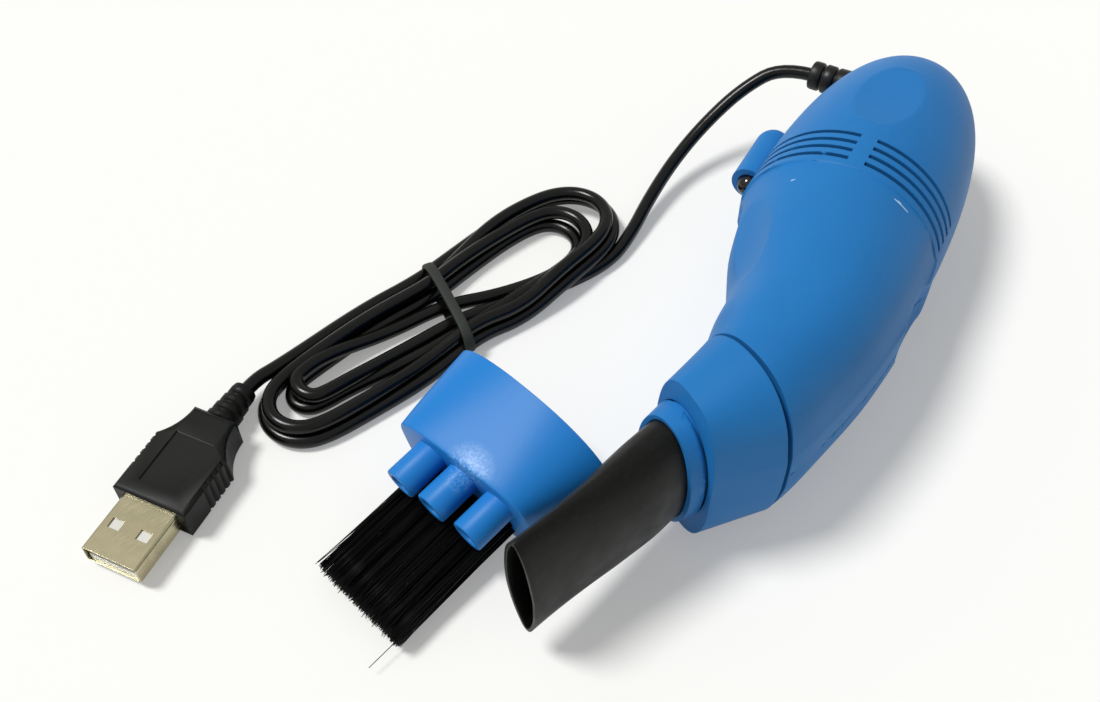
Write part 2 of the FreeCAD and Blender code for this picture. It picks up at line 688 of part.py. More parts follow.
# ---- lamp and switch -----------------------------------------------------
def led_lamp():
    """Round lamp with a domed front, held by its rim behind the pod's face."""
    tip = POD_FRONT - LAMP_PROUD
    nose = tip + LAMP_RADIUS
    ball = Part.makeSphere(LAMP_RADIUS, Vector(nose, POD_OFFSET, 0))
    seat = POD_FRONT + POD_WALL
    barrel = rod_x(LAMP_RADIUS, nose, seat + LAMP_FLANGE_LENGTH, POD_OFFSET)
    rim = rod_x(LAMP_RADIUS + LAMP_FLANGE, seat, seat + LAMP_FLANGE_LENGTH, POD_OFFSET)
    return placed(ball.fuse([barrel, rim]).removeSplitter(), MOTOR)


def lamp_leads():
    """The lamp's two wires, from its base to the switch's pins."""
    start = POD_FRONT + POD_WALL + LAMP_FLANGE_LENGTH
    end = SWITCH_PLACE - SWITCH_LENGTH / 2 + KNOB_TRAVEL / 2
    wires = []
    for z in (-1.0, 1.0):
        wires.append(placed(rod_x(0.3, start, end, POD_OFFSET - 0.6, z), MOTOR))
    return group(wires)


def switch_box():
    x0 = SWITCH_PLACE - SWITCH_LENGTH / 2 + KNOB_TRAVEL / 2
    x1 = x0 + SWITCH_LENGTH
    y1 = POD_OFFSET + 0.6
    return x0, x1, y1 - SWITCH_DEPTH, y1


def switch_body():
    """Slide switch frame with a slot for its knob."""
    x0, x1, y0, y1 = switch_box()
    half = SWITCH_HEIGHT / 2
    body = block(x0, x1, y0, y1, -half, half)
    slot = block(SWITCH_PLACE - 1.2, SWITCH_PLACE + 1.2 + KNOB_TRAVEL, y1 - 1.4, y1 + 1, -1.0, 1.0)
    return placed(body.cut(slot), MOTOR)


def switch_pins():
    """Three pins under the switch."""
    x0, x1, y0, y1 = switch_box()
    middle = (x0 + x1) / 2
    return group([placed(block(middle + dx - 0.3, middle + dx + 0.3, y0 - 2.2, y0, -0.2, 0.2), MOTOR)
                  for dx in (-2.5, 0, 2.5)])


def switch_knob():
    """Ribbed knob that slides along the pod's window."""
    y1 = switch_box()[3]
    outer = POD_OFFSET + POD_RADIUS - KNOB_SUNK
    half = KNOB_LENGTH / 2
    cap = block(SWITCH_PLACE - half, SWITCH_PLACE + half, y1 + 0.2, outer, -KNOB_HEIGHT / 2, KNOB_HEIGHT / 2)
    stem = block(SWITCH_PLACE - 0.9, SWITCH_PLACE + 0.9, y1 - 1.1, y1 + 0.2, -0.7, 0.7)
    grooves = []
    for i in range(KNOB_RIBS):
        x = SWITCH_PLACE + (i - (KNOB_RIBS - 1) / 2) * 1.0
        grooves.append(block(x - 0.22, x + 0.22, outer - 0.4, outer + 1, -KNOB_HEIGHT, KNOB_HEIGHT))
    return placed(cap.fuse(stem).cut(fused(grooves)), MOTOR)


# ---- spigot, filter and suction head -------------------------------------
def joint_oval(inset):
    """Half width, half height and squareness of the joint between body and heads."""
    return HEAD_REAR_HALF_WIDTH - inset, HEAD_REAR_HALF_HEIGHT - inset, HEAD_SQUARENESS


def joint_place():
    """The joint's centre, where the layout's X is 0."""
    return at(0, NECK_FRONT[1], PART_HEIGHT)


def filter_frame():
    """Oval sleeve held in the housing's mouth; the heads push onto its front."""
    back = SPIGOT_SEAT
    front = NECK_FRONT[0] - JOINT_GAP / 2 - SPIGOT_LENGTH
    outer = oval_bar(front, back, *joint_oval(WALL + FIT))
    hollow = oval_bar(front - 1, back + 1, *joint_oval(WALL + FIT + SPIGOT_WALL))
    bar_y = block(back - 1.2, back, -HEAD_REAR_HALF_WIDTH, HEAD_REAR_HALF_WIDTH, -0.6, 0.6)
    bar_z = block(back - 1.2, back, -0.6, 0.6, -HEAD_REAR_HALF_HEIGHT, HEAD_REAR_HALF_HEIGHT)
    bars = bar_y.fuse(bar_z).common(outer)
    return placed(outer.cut(hollow).fuse(bars), joint_place())


def dust_filter():
    """Thin oval pad that rests on the frame's cross bars."""
    back = SPIGOT_SEAT - 1.2
    pad = oval_bar(back - FILTER_THICKNESS, back, *joint_oval(WALL + FIT + SPIGOT_WALL + FIT))
    return placed(pad, joint_place())


def head_form(length, shift, front_width, front_height):
    """Outer form of a push-on head: rear rim at x = 0, front at -length."""
    front = (-length, shift, front_width, front_height, SUCTION_FRONT_SQUARENESS)
    return oval_loft([(0.0, 0.0, *joint_oval(0.0)), front])


def head_cavity(length, shift, front_width, front_height, front_wall):
    """Socket for the spigot and the hollow in front of it."""
    half_width, half_height, squareness = joint_oval(WALL)
    socket_end = -(SPIGOT_LENGTH - JOINT_GAP / 2 + LOOSE)
    socket = oval_bar(socket_end, 1.0, half_width, half_height, squareness)
    narrow = front_width - HEAD_WALL
    low = front_height - HEAD_WALL
    start = (socket_end, shift * 0.4, half_width - 0.6, half_height - 0.6, squareness)
    hollow = oval_loft([start, (-(length - front_wall), shift, narrow, low, SUCTION_FRONT_SQUARENESS)])
    return socket.fuse(hollow)


def suction_place():
    return at(-JOINT_GAP / 2, NECK_FRONT[1], PART_HEIGHT)


def nozzle_place():
    return at(-JOINT_GAP / 2, NECK_FRONT[1] + NOZZLE_SHIFT, PART_HEIGHT)


def suction_head():
    """Head that carries the soft nozzle: hollow, with an oval hole in its front."""
    front = (SUCTION_LENGTH, SUCTION_FRONT_SHIFT, SUCTION_FRONT_HALF_WIDTH, SUCTION_FRONT_HALF_HEIGHT)
    hole = oval_bar(-SUCTION_LENGTH - 1, -SUCTION_LENGTH + COLLAR_NECK_LENGTH + LOOSE, *neck_oval(FIT))
    hollow = placed(head_cavity(*front, HEAD_WALL), suction_place())
    return placed(head_form(*front), suction_place()).cut(hollow).cut(placed(hole, nozzle_place()))


def neck_oval(grow):
    """Outside of the collar's neck."""
    extra = FIT + COLLAR_NECK_WALL + grow
    return NOZZLE_HALF_WIDTH + extra, NOZZLE_HALF_HEIGHT + extra, NOZZLE_SQUARENESS


def nozzle_collar():
    """Oval collar with a neck that plugs into the suction head."""
    back = -SUCTION_LENGTH - COLLAR_GAP
    ring = oval_loft([(back, 0.0, COLLAR_HALF_WIDTH, COLLAR_HALF_HEIGHT, NOZZLE_SQUARENESS),
                      (back - COLLAR_LENGTH, 0.0, COLLAR_HALF_WIDTH - COLLAR_TAPER,
                       COLLAR_HALF_HEIGHT - COLLAR_TAPER, NOZZLE_SQUARENESS)])
    neck = oval_bar(back - 0.5, back + COLLAR_GAP + COLLAR_NECK_LENGTH, *neck_oval(0.0))
    bore = oval_bar(back - COLLAR_LENGTH - 1, back + COLLAR_NECK_LENGTH + 2,
                    NOZZLE_HALF_WIDTH + FIT, NOZZLE_HALF_HEIGHT + FIT, NOZZLE_SQUARENESS)
    return placed(ring.fuse(neck).cut(bore), nozzle_place())


def nozzle_form(inset):
    """The soft tube's oval form, flattened towards its tip."""
    root = -SUCTION_LENGTH + 1.5
    collar_front = -SUCTION_LENGTH - COLLAR_GAP - COLLAR_LENGTH
    tip = collar_front - NOZZLE_VISIBLE
    stations = ((root, 0.0), (collar_front, 0.0), (collar_front - 10, 0.12), (tip + 10, 0.82), (tip, 1.0))
    wires = []
    for x, blend in stations:
        half_width = NOZZLE_HALF_WIDTH + blend * (NOZZLE_TIP_HALF_WIDTH - NOZZLE_HALF_WIDTH)
        half_height = NOZZLE_HALF_HEIGHT + blend * (NOZZLE_TIP_HALF_HEIGHT - NOZZLE_HALF_HEIGHT)
        wire = oval(half_width - inset, half_height - inset, NOZZLE_SQUARENESS)
        wire.rotate(Vector(), Vector(1, 0, 0), -NOZZLE_TIP_ROLL * blend)
        wire.translate(Vector(x, 0, 0))
        wires.append(wire)
    return Part.makeLoft(wires, True, False)


def hose_nozzle():
    """Soft tube: open at both ends, oval in the collar and flat at its tip."""
    return placed(nozzle_form(0.0).cut(nozzle_form(NOZZLE_WALL)), nozzle_place())


# ---- brush head ----------------------------------------------------------
def brush_pitch():
    """Nose-down angle of the brush head when it rests on its tapered side."""
    return math.degrees(math.atan((HEAD_REAR_HALF_WIDTH - BRUSH_FRONT_HALF_SHORT) / BRUSH_LENGTH))


def brush_place():
    """The brush head lies on its broad side: local Y up, local Z level."""
    pitch = brush_pitch()
    height = HEAD_REAR_HALF_WIDTH * math.cos(math.radians(pitch))
    turn = Rotation(UP, BRUSH_YAW).multiply(Rotation(Vector(0, 1, 0), -pitch))
    turn = turn.multiply(Rotation(Vector(1, 0, 0), 90))
    return Placement(Vector(BRUSH_PLACE[0], BRUSH_PLACE[1], height), turn)


def tuft(row, index, grow=0.0):
    """One bundle of bristles, in the brush head's frame."""
    start = -BRUSH_LENGTH + BRISTLE_HOLE
    spread = index - (BRISTLE_TUFTS - 1) / 2
    z = spread * BRISTLE_PITCH
    lift = math.radians(brush_pitch() - BRISTLE_DROOP)
    along = Vector(-math.cos(lift), math.sin(lift), -spread * BRISTLE_SPLAY)
    foot = Vector(start, -BRISTLE_ROWS[row], z)
    return Part.makeCylinder(BRISTLE_TUFT_RADIUS + grow, BRISTLE_LENGTH + BRISTLE_HOLE, foot, along)


def all_tufts(grow=0.0):
    return [tuft(row, i, grow) for row in range(len(BRISTLE_ROWS)) for i in range(BRISTLE_TUFTS)]


def brush_head():
    """Head with three short suction tubes above its bristles."""
    front = (BRUSH_LENGTH, 0.0, BRUSH_FRONT_HALF_SHORT, BRUSH_FRONT_HALF_LONG)
    form = head_form(*front)
    cavity = head_cavity(*front, BRUSH_PLATE)
    tubes, bores = [], []
    tip = -BRUSH_LENGTH - BRUSH_TUBE_LENGTH
    for i in range(BRUSH_TUBE_COUNT):
        z = (i - (BRUSH_TUBE_COUNT - 1) / 2) * BRUSH_TUBE_PITCH
        tubes.append(rod_x(BRUSH_TUBE_RADIUS, tip, -BRUSH_LENGTH + BRUSH_PLATE, BRUSH_TUBE_RISE, z))
        bores.append(rod_x(BRUSH_TUBE_RADIUS - BRUSH_TUBE_WALL, tip - 1, -BRUSH_LENGTH + BRUSH_PLATE + 1,
                           BRUSH_TUBE_RISE, z))
    holes = all_tufts(FIT / 2)
    head = form.cut(cavity).fuse(tubes).cut(fused(bores)).cut(fused(holes))
    return placed(head.removeSplitter(), brush_place())


def bristle_tufts():
    return group([placed(t, brush_place()) for t in all_tufts()])


# ---- cord, boot and tie --------------------------------------------------
def boot_point(distance):
    """Point on the boot's axis at a distance from the motor's axis."""
    return MOTOR.multVec(Vector(BOOT_PLACE, distance, 0))


def boot_tip():
    return boot_wall_face() + BOOT_OUTSIDE


def cord_boot():
    """Ribbed rubber boot: flange inside the wall, neck, three ribs and a sleeve."""
    face = boot_wall_face()
    inner = face - WALL
    tip = boot_tip()
    step = (BOOT_OUTSIDE - BOOT_SLEEVE) / BOOT_RIBS
    profile = [(inner - BOOT_FLANGE, 0.0), (inner - BOOT_FLANGE, BOOT_FLANGE_RADIUS),
               (inner - FIT, BOOT_FLANGE_RADIUS), (inner - FIT, BOOT_NECK_RADIUS), (face, BOOT_NECK_RADIUS)]
    for i in range(BOOT_RIBS):
        start = face + i * step
        radius = BOOT_RADIUS - i * (BOOT_RADIUS - BOOT_TIP_RADIUS) / BOOT_RIBS
        profile += [(start, radius), (start + step * 0.62, radius - 0.1),
                    (start + step * 0.62, radius - BOOT_GROOVE), (start + step, radius - BOOT_GROOVE)]
    profile += [(tip - BOOT_SLEEVE, BOOT_TIP_RADIUS), (tip, BOOT_TIP_RADIUS - 0.3), (tip, CORD_RADIUS + CORD_FIT),
                (tip - CORD_INSIDE, CORD_RADIUS + CORD_FIT), (tip - CORD_INSIDE, 0.0)]
    boot = turned(profile)
    boot.rotate(Vector(), UP, 90)
    boot.translate(Vector(BOOT_PLACE, 0, 0))
    return placed(boot, MOTOR)


def rounded_path(points):
    """Straight runs joined by tangent arcs as large as the runs allow."""
    edges, radii = [], []
    start = points[0]
    for before, corner, after in zip(points, points[1:], points[2:]):
        back, ahead = before - corner, after - corner
        turn = math.pi - back.getAngle(ahead)
        reach = CORD_ARC_SHARE * min(back.Length, ahead.Length)
        radii.append(reach / math.tan(turn / 2))
        back.normalize()
        ahead.normalize()
        first, last = corner + back * reach, corner + ahead * reach
        inward = (back + ahead).normalize()
        centre = corner + inward * (radii[-1] / math.cos(turn / 2))
        edges.append(Part.LineSegment(start, first).toShape())
        edges.append(Part.Arc(first, centre - inward * radii[-1], last).toShape())
        start = last
    edges.append(Part.LineSegment(start, points[-1]).toShape())
    return Part.Wire(edges), radii


def cord_tube(name, points):
    """Plain tube of the cord's diameter along a route; prints its bends."""
    path, radii = rounded_path(points)
    direction = points[1] - points[0]
    circle = Part.Wire([Part.makeCircle(CORD_RADIUS, points[0], direction)])
    tube = path.makePipeShell([circle], True, True)
    section = math.pi * CORD_RADIUS ** 2
    print("%s: length %.1f, volume over section %.1f, bend radii %s" % (
        name, path.Length, tube.Volume / section, ["%.1f" % r for r in radii]))
    return tube


def cord_lead():
    exit_points = [boot_point(boot_tip() - CORD_INSIDE), boot_point(boot_tip() + LEAD_STRAIGHT)]
    return cord_tube("cord_lead", exit_points + [Vector(*p) for p in LEAD_ROUTE])


def cord_tail():
    exit_points = [plug_point(plug_length() - CORD_INSIDE), plug_point(plug_length() + TAIL_STRAIGHT)]
    return cord_tube("cord_tail", exit_points + [Vector(*p) for p in TAIL_ROUTE])


def cord_hank():
    """The wound bundle as one closed form."""
    (x0, y0), (x1, y1) = HANK_LINE
    length = math.hypot(x1 - x0, y1 - y0)
    sections = [(part * length, 0.0, w, h, HANK_SQUARENESS) for part, w, h in HANK_SECTIONS]
    turn = math.degrees(math.atan2(y1 - y0, x1 - x0))
    return placed(oval_loft(sections), at(x0, y0, HANK_MIDDLE, turn))


def hank_tie():
    """Flat rubber band round the bundle."""
    half = TIE_WIDTH / 2
    outer = oval_bar(-half, half, TIE_HALF_WIDTH + TIE_THICKNESS, TIE_HALF_HEIGHT + TIE_THICKNESS, HANK_SQUARENESS)
    inner = oval_bar(-half - 1, half + 1, TIE_HALF_WIDTH, TIE_HALF_HEIGHT, HANK_SQUARENESS)
    return placed(outer.cut(inner), at(TIE_PLACE[0], TIE_PLACE[1], HANK_MIDDLE, TIE_TURN))


# ---- plug ----------------------------------------------------------------
PLUG = at(PLUG_FRONT[0], PLUG_FRONT[1], PLUG_BODY_HEIGHT / 2, PLUG_TURN + 180)


def plug_length():
    return PLUG_SHELL[0] + PLUG_BODY_LENGTH + PLUG_SHOULDER + PLUG_RELIEF_LENGTH


def plug_point(distance):
    """Point on the plug's axis at a distance from the front of its shell."""
    return PLUG.multVec(Vector(distance, 0, 0))


def plug_shell():
    """Folded sheet-metal shell with two latch windows on each broad side."""
    length, width, height = PLUG_SHELL
    end = length + PLUG_SHELL_SEAT
    outer = block(0, end, -width / 2, width / 2, -height / 2, height / 2)
    outer = outer.makeFillet(PLUG_SHELL_CORNER, [e for e in outer.Edges if abs(e.tangentAt(0).x) > 0.9])
    w, h = width / 2 - PLUG_SHELL_WALL, height / 2 - PLUG_SHELL_WALL
    inner = block(-1, end - PLUG_SHELL_WALL, -w, w, -h, h)
    inner = inner.makeFillet(PLUG_SHELL_CORNER - PLUG_SHELL_WALL / 2,
                             [e for e in inner.Edges if abs(e.tangentAt(0).x) > 0.9])
    windows = []
    for side in (-1, 1):
        along, across = PLUG_WINDOW
        y = side * PLUG_WINDOW_SPREAD / 2
        windows.append(block(PLUG_WINDOW_PLACE - along / 2, PLUG_WINDOW_PLACE + along / 2,
                             y - across / 2, y + across / 2, -height, height))
    return placed(outer.cut(inner).cut(fused(windows)), PLUG)


def tongue_box():
    """Corners of the plug's insulating tongue."""
    length, width, height = PLUG_SHELL
    low = -height / 2 + PLUG_SHELL_WALL
    return 0.4, length + PLUG_SHELL_SEAT - PLUG_SHELL_WALL - FIT, low, low + TONGUE_HEIGHT


def plug_tongue():
    x0, x1, z0, z1 = tongue_box()
    return placed(block(x0, x1, -TONGUE_WIDTH / 2, TONGUE_WIDTH / 2, z0, z1), PLUG)


def plug_contacts():
    """Four contact strips on the tongue."""
    x0, x1, z0, z1 = tongue_box()
    strips = []
    for i in range(CONTACT_COUNT):
        y = (i - (CONTACT_COUNT - 1) / 2) * CONTACT_PITCH
        reach = 1.0 if i in (1, 2) else 0.3
        strips.append(placed(block(x0 + reach, x1 - 1, y - CONTACT_WIDTH / 2, y + CONTACT_WIDTH / 2,
                                   z1, z1 + CONTACT_THICKNESS), PLUG))
    return group(strips)


def plug_body():
    """Moulded grip: straight sides, hollow shoulders, ribbed flanks and a recess."""
    x0 = PLUG_SHELL[0]
    x1 = x0 + PLUG_BODY_LENGTH
    x2 = x1 + PLUG_SHOULDER
    half, neck = PLUG_BODY_WIDTH / 2, PLUG_NECK_WIDTH / 2
    bow_x, bow_y = x1 + PLUG_SHOULDER * 0.36, neck + (half - neck) * 0.36
    corners = [Vector(x0, -half, 0), Vector(x1, -half, 0), Vector(x2, -neck, 0),
               Vector(x2, neck, 0), Vector(x1, half, 0), Vector(x0, half, 0)]
    edges = [Part.makeLine(corners[0], corners[1]),
             Part.Arc(corners[1], Vector(bow_x, -bow_y, 0), corners[2]).toShape(),
             Part.makeLine(corners[2], corners[3]),
             Part.Arc(corners[3], Vector(bow_x, bow_y, 0), corners[4]).toShape(),
             Part.makeLine(corners[4], corners[5]), Part.makeLine(corners[5], corners[0])]
    body = Part.Face(Part.Wire(edges)).extrude(Vector(0, 0, PLUG_BODY_HEIGHT))
    body.translate(Vector(0, 0, -PLUG_BODY_HEIGHT / 2))
    rims = [e for e in body.Edges if abs(e.CenterOfMass.z) > PLUG_BODY_HEIGHT / 2 - EPS]
    body = body.makeChamfer(PLUG_EDGE, rims)
    length, width, height = PLUG_SHELL
    socket = block(x0 - 1, x0 + PLUG_SHELL_SEAT, -width / 2 - EPS, width / 2 + EPS,
                   -height / 2 - EPS, height / 2 + EPS)
    cutters = [socket]
    pitch = PLUG_GRIP_LENGTH / PLUG_GRIP_RIBS
    for i in range(PLUG_GRIP_RIBS):
        x = x1 - PLUG_GRIP_LENGTH + (i + 0.5) * pitch
        for side in (-1, 1):
            cutters.append(block(x - pitch * 0.22, x + pitch * 0.22, side * half - 0.6, side * half + 0.6,
                                 -PLUG_BODY_HEIGHT, PLUG_BODY_HEIGHT))
    cutters.append(block(x0 + 3.0, x1 + 1.5, -PLUG_RECESS_WIDTH / 2, PLUG_RECESS_WIDTH / 2,
                         PLUG_BODY_HEIGHT / 2 - PLUG_RECESS_DEPTH, PLUG_BODY_HEIGHT))
    return placed(body.cut(fused(cutters)), PLUG)


def plug_relief():
    """Ribbed, tapering strain relief."""
    x0 = PLUG_SHELL[0] + PLUG_BODY_LENGTH + PLUG_SHOULDER
    x1 = x0 + PLUG_RELIEF_LENGTH
    step = PLUG_RELIEF_LENGTH / PLUG_RELIEF_RIBS
    profile = [(x0, 0.0)]
    for i in range(PLUG_RELIEF_RIBS):
        start = x0 + i * step
        radius = PLUG_RELIEF_RADIUS - i * (PLUG_RELIEF_RADIUS - PLUG_RELIEF_TIP) / (PLUG_RELIEF_RIBS - 1)
        profile += [(start, radius), (start + step * 0.6, radius)]
        if i < PLUG_RELIEF_RIBS - 1:
            profile += [(start + step * 0.6, radius - 0.7), (start + step, radius - 0.7)]
    profile += [(x1, PLUG_RELIEF_TIP - 0.2), (x1, CORD_RADIUS + CORD_FIT), (x1 - CORD_INSIDE, CORD_RADIUS + CORD_FIT),
                (x1 - CORD_INSIDE, 0.0)]
    return placed(turned(profile), PLUG)


# ---- assembly ------------------------------------------------------------
CLEANER = {
    "upper_shell": upper_shell,
    "lower_shell": lower_shell,
    "shell_screws": shell_screws,
    "filter_frame": filter_frame,
    "dust_filter": dust_filter,
    "fan_bulkhead": fan_bulkhead,
    "impeller": impeller,
    "motor_can": motor_can,
    "motor_end_cap": motor_end_cap,
    "motor_bearings": motor_bearings,
    "motor_shaft": motor_shaft,
    "motor_terminals": motor_terminals,
    "led_lamp": led_lamp,
    "lamp_leads": lamp_leads,
    "switch_body": switch_body,
    "switch_pins": switch_pins,
    "switch_knob": switch_knob,
    "cord_boot": cord_boot,
    "suction_head": suction_head,
    "nozzle_collar": nozzle_collar,
    "hose_nozzle": hose_nozzle,
    "brush_head": brush_head,
    "bristle_tufts": bristle_tufts,
}
CORD = {
    "cord_lead": cord_lead,
    "cord_hank": cord_hank,
    "hank_tie": hank_tie,
    "cord_tail": cord_tail,
    "plug_relief": plug_relief,
    "plug_body": plug_body,
    "plug_shell": plug_shell,
    "plug_tongue": plug_tongue,
    "plug_contacts": plug_contacts,
}


def origin_of(shapes):
    """Bottom centre of the box around the shapes."""
    boxes = [shape.optimalBoundingBox(False) for shape in shapes]
    x = (min(b.XMin for b in boxes) + max(b.XMax for b in boxes)) / 2
    y = (min(b.YMin for b in boxes) + max(b.YMax for b in boxes)) / 2
    return Vector(x, y, min(b.ZMin for b in boxes))


def build():
    """All nodes by name, in the part's own frame, and the layout's origin in it."""
    cleaner = {name: make() for name, make in CLEANER.items()}
    cord = {name: make() for name, make in CORD.items()}
    origin = origin_of(cleaner.values())
    nodes = {**cleaner, **cord}
    for shape in nodes.values():
        shape.translate(origin * -1)
    return nodes, origin


if __name__ == "__main__":
    os.makedirs("parts", exist_ok=True)
    parts, layout_origin = build()
    for node, solid in parts.items():
        solid.exportStep("parts/%s.step" % node)
    print("origin in the layout frame: %.4f %.4f %.4f" % tuple(layout_origin))
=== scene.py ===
"""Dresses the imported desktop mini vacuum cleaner: two blue housing shells on their side,
the push-on suction head with its soft nozzle tube, the loose brush head, and the black cord,
wound into a tied hank between its boot and its USB plug.

Places are written in the drawing's millimetres: its origin lies on the suction head's axis, at
the joint with the housing, on the table. `drawn` turns them into the model's frame, in metres.
"""
import json
import random
from math import atan, cos, pi, radians, sin, tan

import bmesh
import bpy
from bpy.props import FloatProperty, IntProperty, PointerProperty, StringProperty
from mathutils import Matrix, Vector, noise


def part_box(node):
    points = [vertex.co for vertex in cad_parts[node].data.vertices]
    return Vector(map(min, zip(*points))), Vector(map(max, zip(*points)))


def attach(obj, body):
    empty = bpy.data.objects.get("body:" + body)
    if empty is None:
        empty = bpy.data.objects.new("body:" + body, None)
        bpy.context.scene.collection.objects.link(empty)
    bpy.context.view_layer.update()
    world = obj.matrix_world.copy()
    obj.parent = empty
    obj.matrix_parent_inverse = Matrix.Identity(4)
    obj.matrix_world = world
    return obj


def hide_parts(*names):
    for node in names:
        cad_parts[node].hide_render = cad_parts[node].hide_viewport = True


bl_info = {
    "name": "Desk Mini Vacuum",
    "version": (1, 0, 0),
    "blender": (4, 5, 0),
    "location": "View3D > Sidebar > Mini Vacuum",
    "description": "Dresses the packed desktop mini vacuum cleaner, its brush head, cord and plug",
    "category": "Object",
}

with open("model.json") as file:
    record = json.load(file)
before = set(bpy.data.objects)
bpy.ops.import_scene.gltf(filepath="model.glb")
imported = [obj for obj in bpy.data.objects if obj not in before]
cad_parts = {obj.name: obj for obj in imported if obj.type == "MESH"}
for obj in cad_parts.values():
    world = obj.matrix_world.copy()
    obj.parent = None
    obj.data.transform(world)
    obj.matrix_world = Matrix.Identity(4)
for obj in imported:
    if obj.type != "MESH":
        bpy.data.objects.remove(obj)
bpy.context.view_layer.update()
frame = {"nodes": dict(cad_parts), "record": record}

MM = 0.001
JOINT_HALF_GAP = 0.4        # from the joint's plane to the suction head's rear rim
SLEEVE_SIDE = -1.2          # drawing Y of the filter frame's middle
HEAD_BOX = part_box("suction_head")
SLEEVE_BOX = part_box("filter_frame")
ORIGIN = Vector((HEAD_BOX[1][0] + JOINT_HALF_GAP * MM,
                 (SLEEVE_BOX[0][1] + SLEEVE_BOX[1][1]) / 2 - SLEEVE_SIDE * MM, 0.0))

# ---- camera and light ----------------------------------------------------
PICTURE_WIDTH = 1100        # pixels
FOCAL_PIXELS = 1217.0
SENSOR_WIDTH = 36.0
VIEW_TARGET = (-1.0, 45.5, 0.0)
VIEW_AZIMUTH = -41.5
VIEW_ELEVATION = 51.3
VIEW_DISTANCE = 253.0
VIEW_ROLL = -0.44
FLOOR_SIZE = 4000.0
FLOOR_DROP = 0.05
FLOOR_WHITE = 0.28          # share of plain white in the floor, as the camera and gloss see it
SKY_GLOSS = 0.4             # share of plain white in the sky, as gloss sees it
KEY_LIGHT_FROM = (-0.52, 0.04, 1.0)     # to the right of, beyond and above the target
KEY_LIGHT_SOFTNESS = 17.0

# ---- housing -------------------------------------------------------------
PART_HEIGHT = 20.6          # of the plane where the two shells meet
MOTOR_FRAME = (49.0, 15.9, PART_HEIGHT, 19.1)   # x, y, z, turn in degrees
BOOT_PLACE = 47.2           # along the motor's axis
BOOT_TIP = 23.4             # from the motor's axis
BOOT_SHARP_ANGLE = 40.0
# Outline of the ribbed boot: distance inwards from the tip, radius
BOOT_OUTLINE = (
    (0.0, 1.6), (0.0, 2.6), (0.25, 3.05), (0.7, 3.2), (2.3, 3.2), (2.6, 3.0), (2.7, 2.5), (3.0, 2.5),
    (3.1, 3.05), (3.4, 3.25), (5.2, 3.25), (5.5, 3.05), (5.6, 2.6), (5.9, 2.6), (6.0, 3.1), (6.3, 3.3),
    (11.4, 3.5), (11.4, 1.6),
)
# Fit of the finished skin round the neck. Each row has a place along the head's axis, the middle of the
# plain skin there, the slope of its lines across, then the skin's move along, its slope, its move across
# and the share of the width that it keeps
NECK_FIT = (
    (-30.0, -0.2, 0.0, 0.0, 0.0, 0.0, 1.0),
    (-22.0, -0.2, 0.0, 0.1, 0.03, 0.3, 0.99),
    (-15.3, -0.2, 0.0, 0.3, 0.12, 0.65, 0.95),
    (-11.6, -0.8, 0.0, 0.55, 0.23, 0.5, 1.0),
    (-0.4, -1.2, 0.0, 1.65, 0.175, -0.7, 1.0),
    (0.4, -1.2, 0.0, 1.75, 0.15, -0.7, 1.0),
    (12.0, -0.9, 0.087, -0.1, 0.04, 1.0, 0.993),
    (24.0, 2.6, 0.231, -0.1, 0.0, 0.6, 0.958),
    (33.0, 7.0, 0.364, -0.1, 0.0, 0.3, 0.978),
    (41.0, 11.3, 0.424, -0.1, 0.0, 0.1, 0.99),
    (52.0, 16.5, 0.38, 0.0, 0.0, 0.0, 1.0),
)
NECK_BAYS = range(-14, 52, 3)
NECK_PASSES = 4             # steps that find a leaning point's place along the axis
# The head's hole: its inner end, middle, half width and height with a margin, and the share that it widens by
MOUTH_HOLE = (-6.8, (-0.2, 20.6), (7.65, 14.1), 1.1)
# Pressed hollows: middle, direction that they face, reach and depth
THUMB_DISH = ((72.6, 25.2, 39.06), (0.107, 0.1, 0.989), 9.5, 0.35)
FINGER_SCOOP = ((28.0, 22.2, 30.9), (-0.5, 0.7, 0.51), 10.5, 0.95)
HOLLOW_CELL = 0.5           # size of the fine cells in a hollow
HOLLOW_EDGE = 0.15          # depth over which its rim is rounded
HOLLOW_CELLS_REACH = 1.25   # how far the fine cells go, as a share of the hollow's reach
HOLLOW_RIM_REACH = 1.2      # how far the skin sinks
HOLLOW_LEAST_FACING = 0.15  # skin that faces the hollow less than this stays
HOLLOW_FACING_SPAN = 0.3    # and it sinks in full when it faces it by this much more
# Scratches on the housing's top and neck: start, end, half width
HOUSING_SCRATCHES = (
    ((49.85, 6.24, 38.9), (50.7, 3.4, 37.05), 0.2),
    ((50.2, 5.6, 38.5), (50.35, 5.1, 38.2), 0.3),
    ((40.4, 23.1, 37.8), (40.9, 22.5, 38.0), 0.22),
)

# ---- nozzle tube ---------------------------------------------------------
NOZZLE_SIDE = -0.2          # of the tube's axis
NOZZLE_ROOT = -10.1         # hidden end, where it leaves the collar, and mouth, along the axis
COLLAR_FRONT = -15.3
NOZZLE_TIP = -48.3
NOZZLE_WALL = 0.65
NOZZLE_ROLL = 6.0           # turn of the flat tip about the tube's axis
NOZZLE_SEGMENTS = 64
NOZZLE_RINGS = 26
NOZZLE_WAVE = 0.12          # height of the uneven skin, and of the mouth's uneven cut
NOZZLE_WAVE_PACE = (0.09, 1.2)          # how fast the skin's waves run along the tube and round it
NOZZLE_WAVE_RISE = 0.3      # share of the wave that goes up instead of out
NOZZLE_CUT_PACE = 2.1
NOZZLE_LIP = 0.12           # rounding of the mouth's edges that are sharper than the angle
NOZZLE_LIP_ANGLE = 60.0
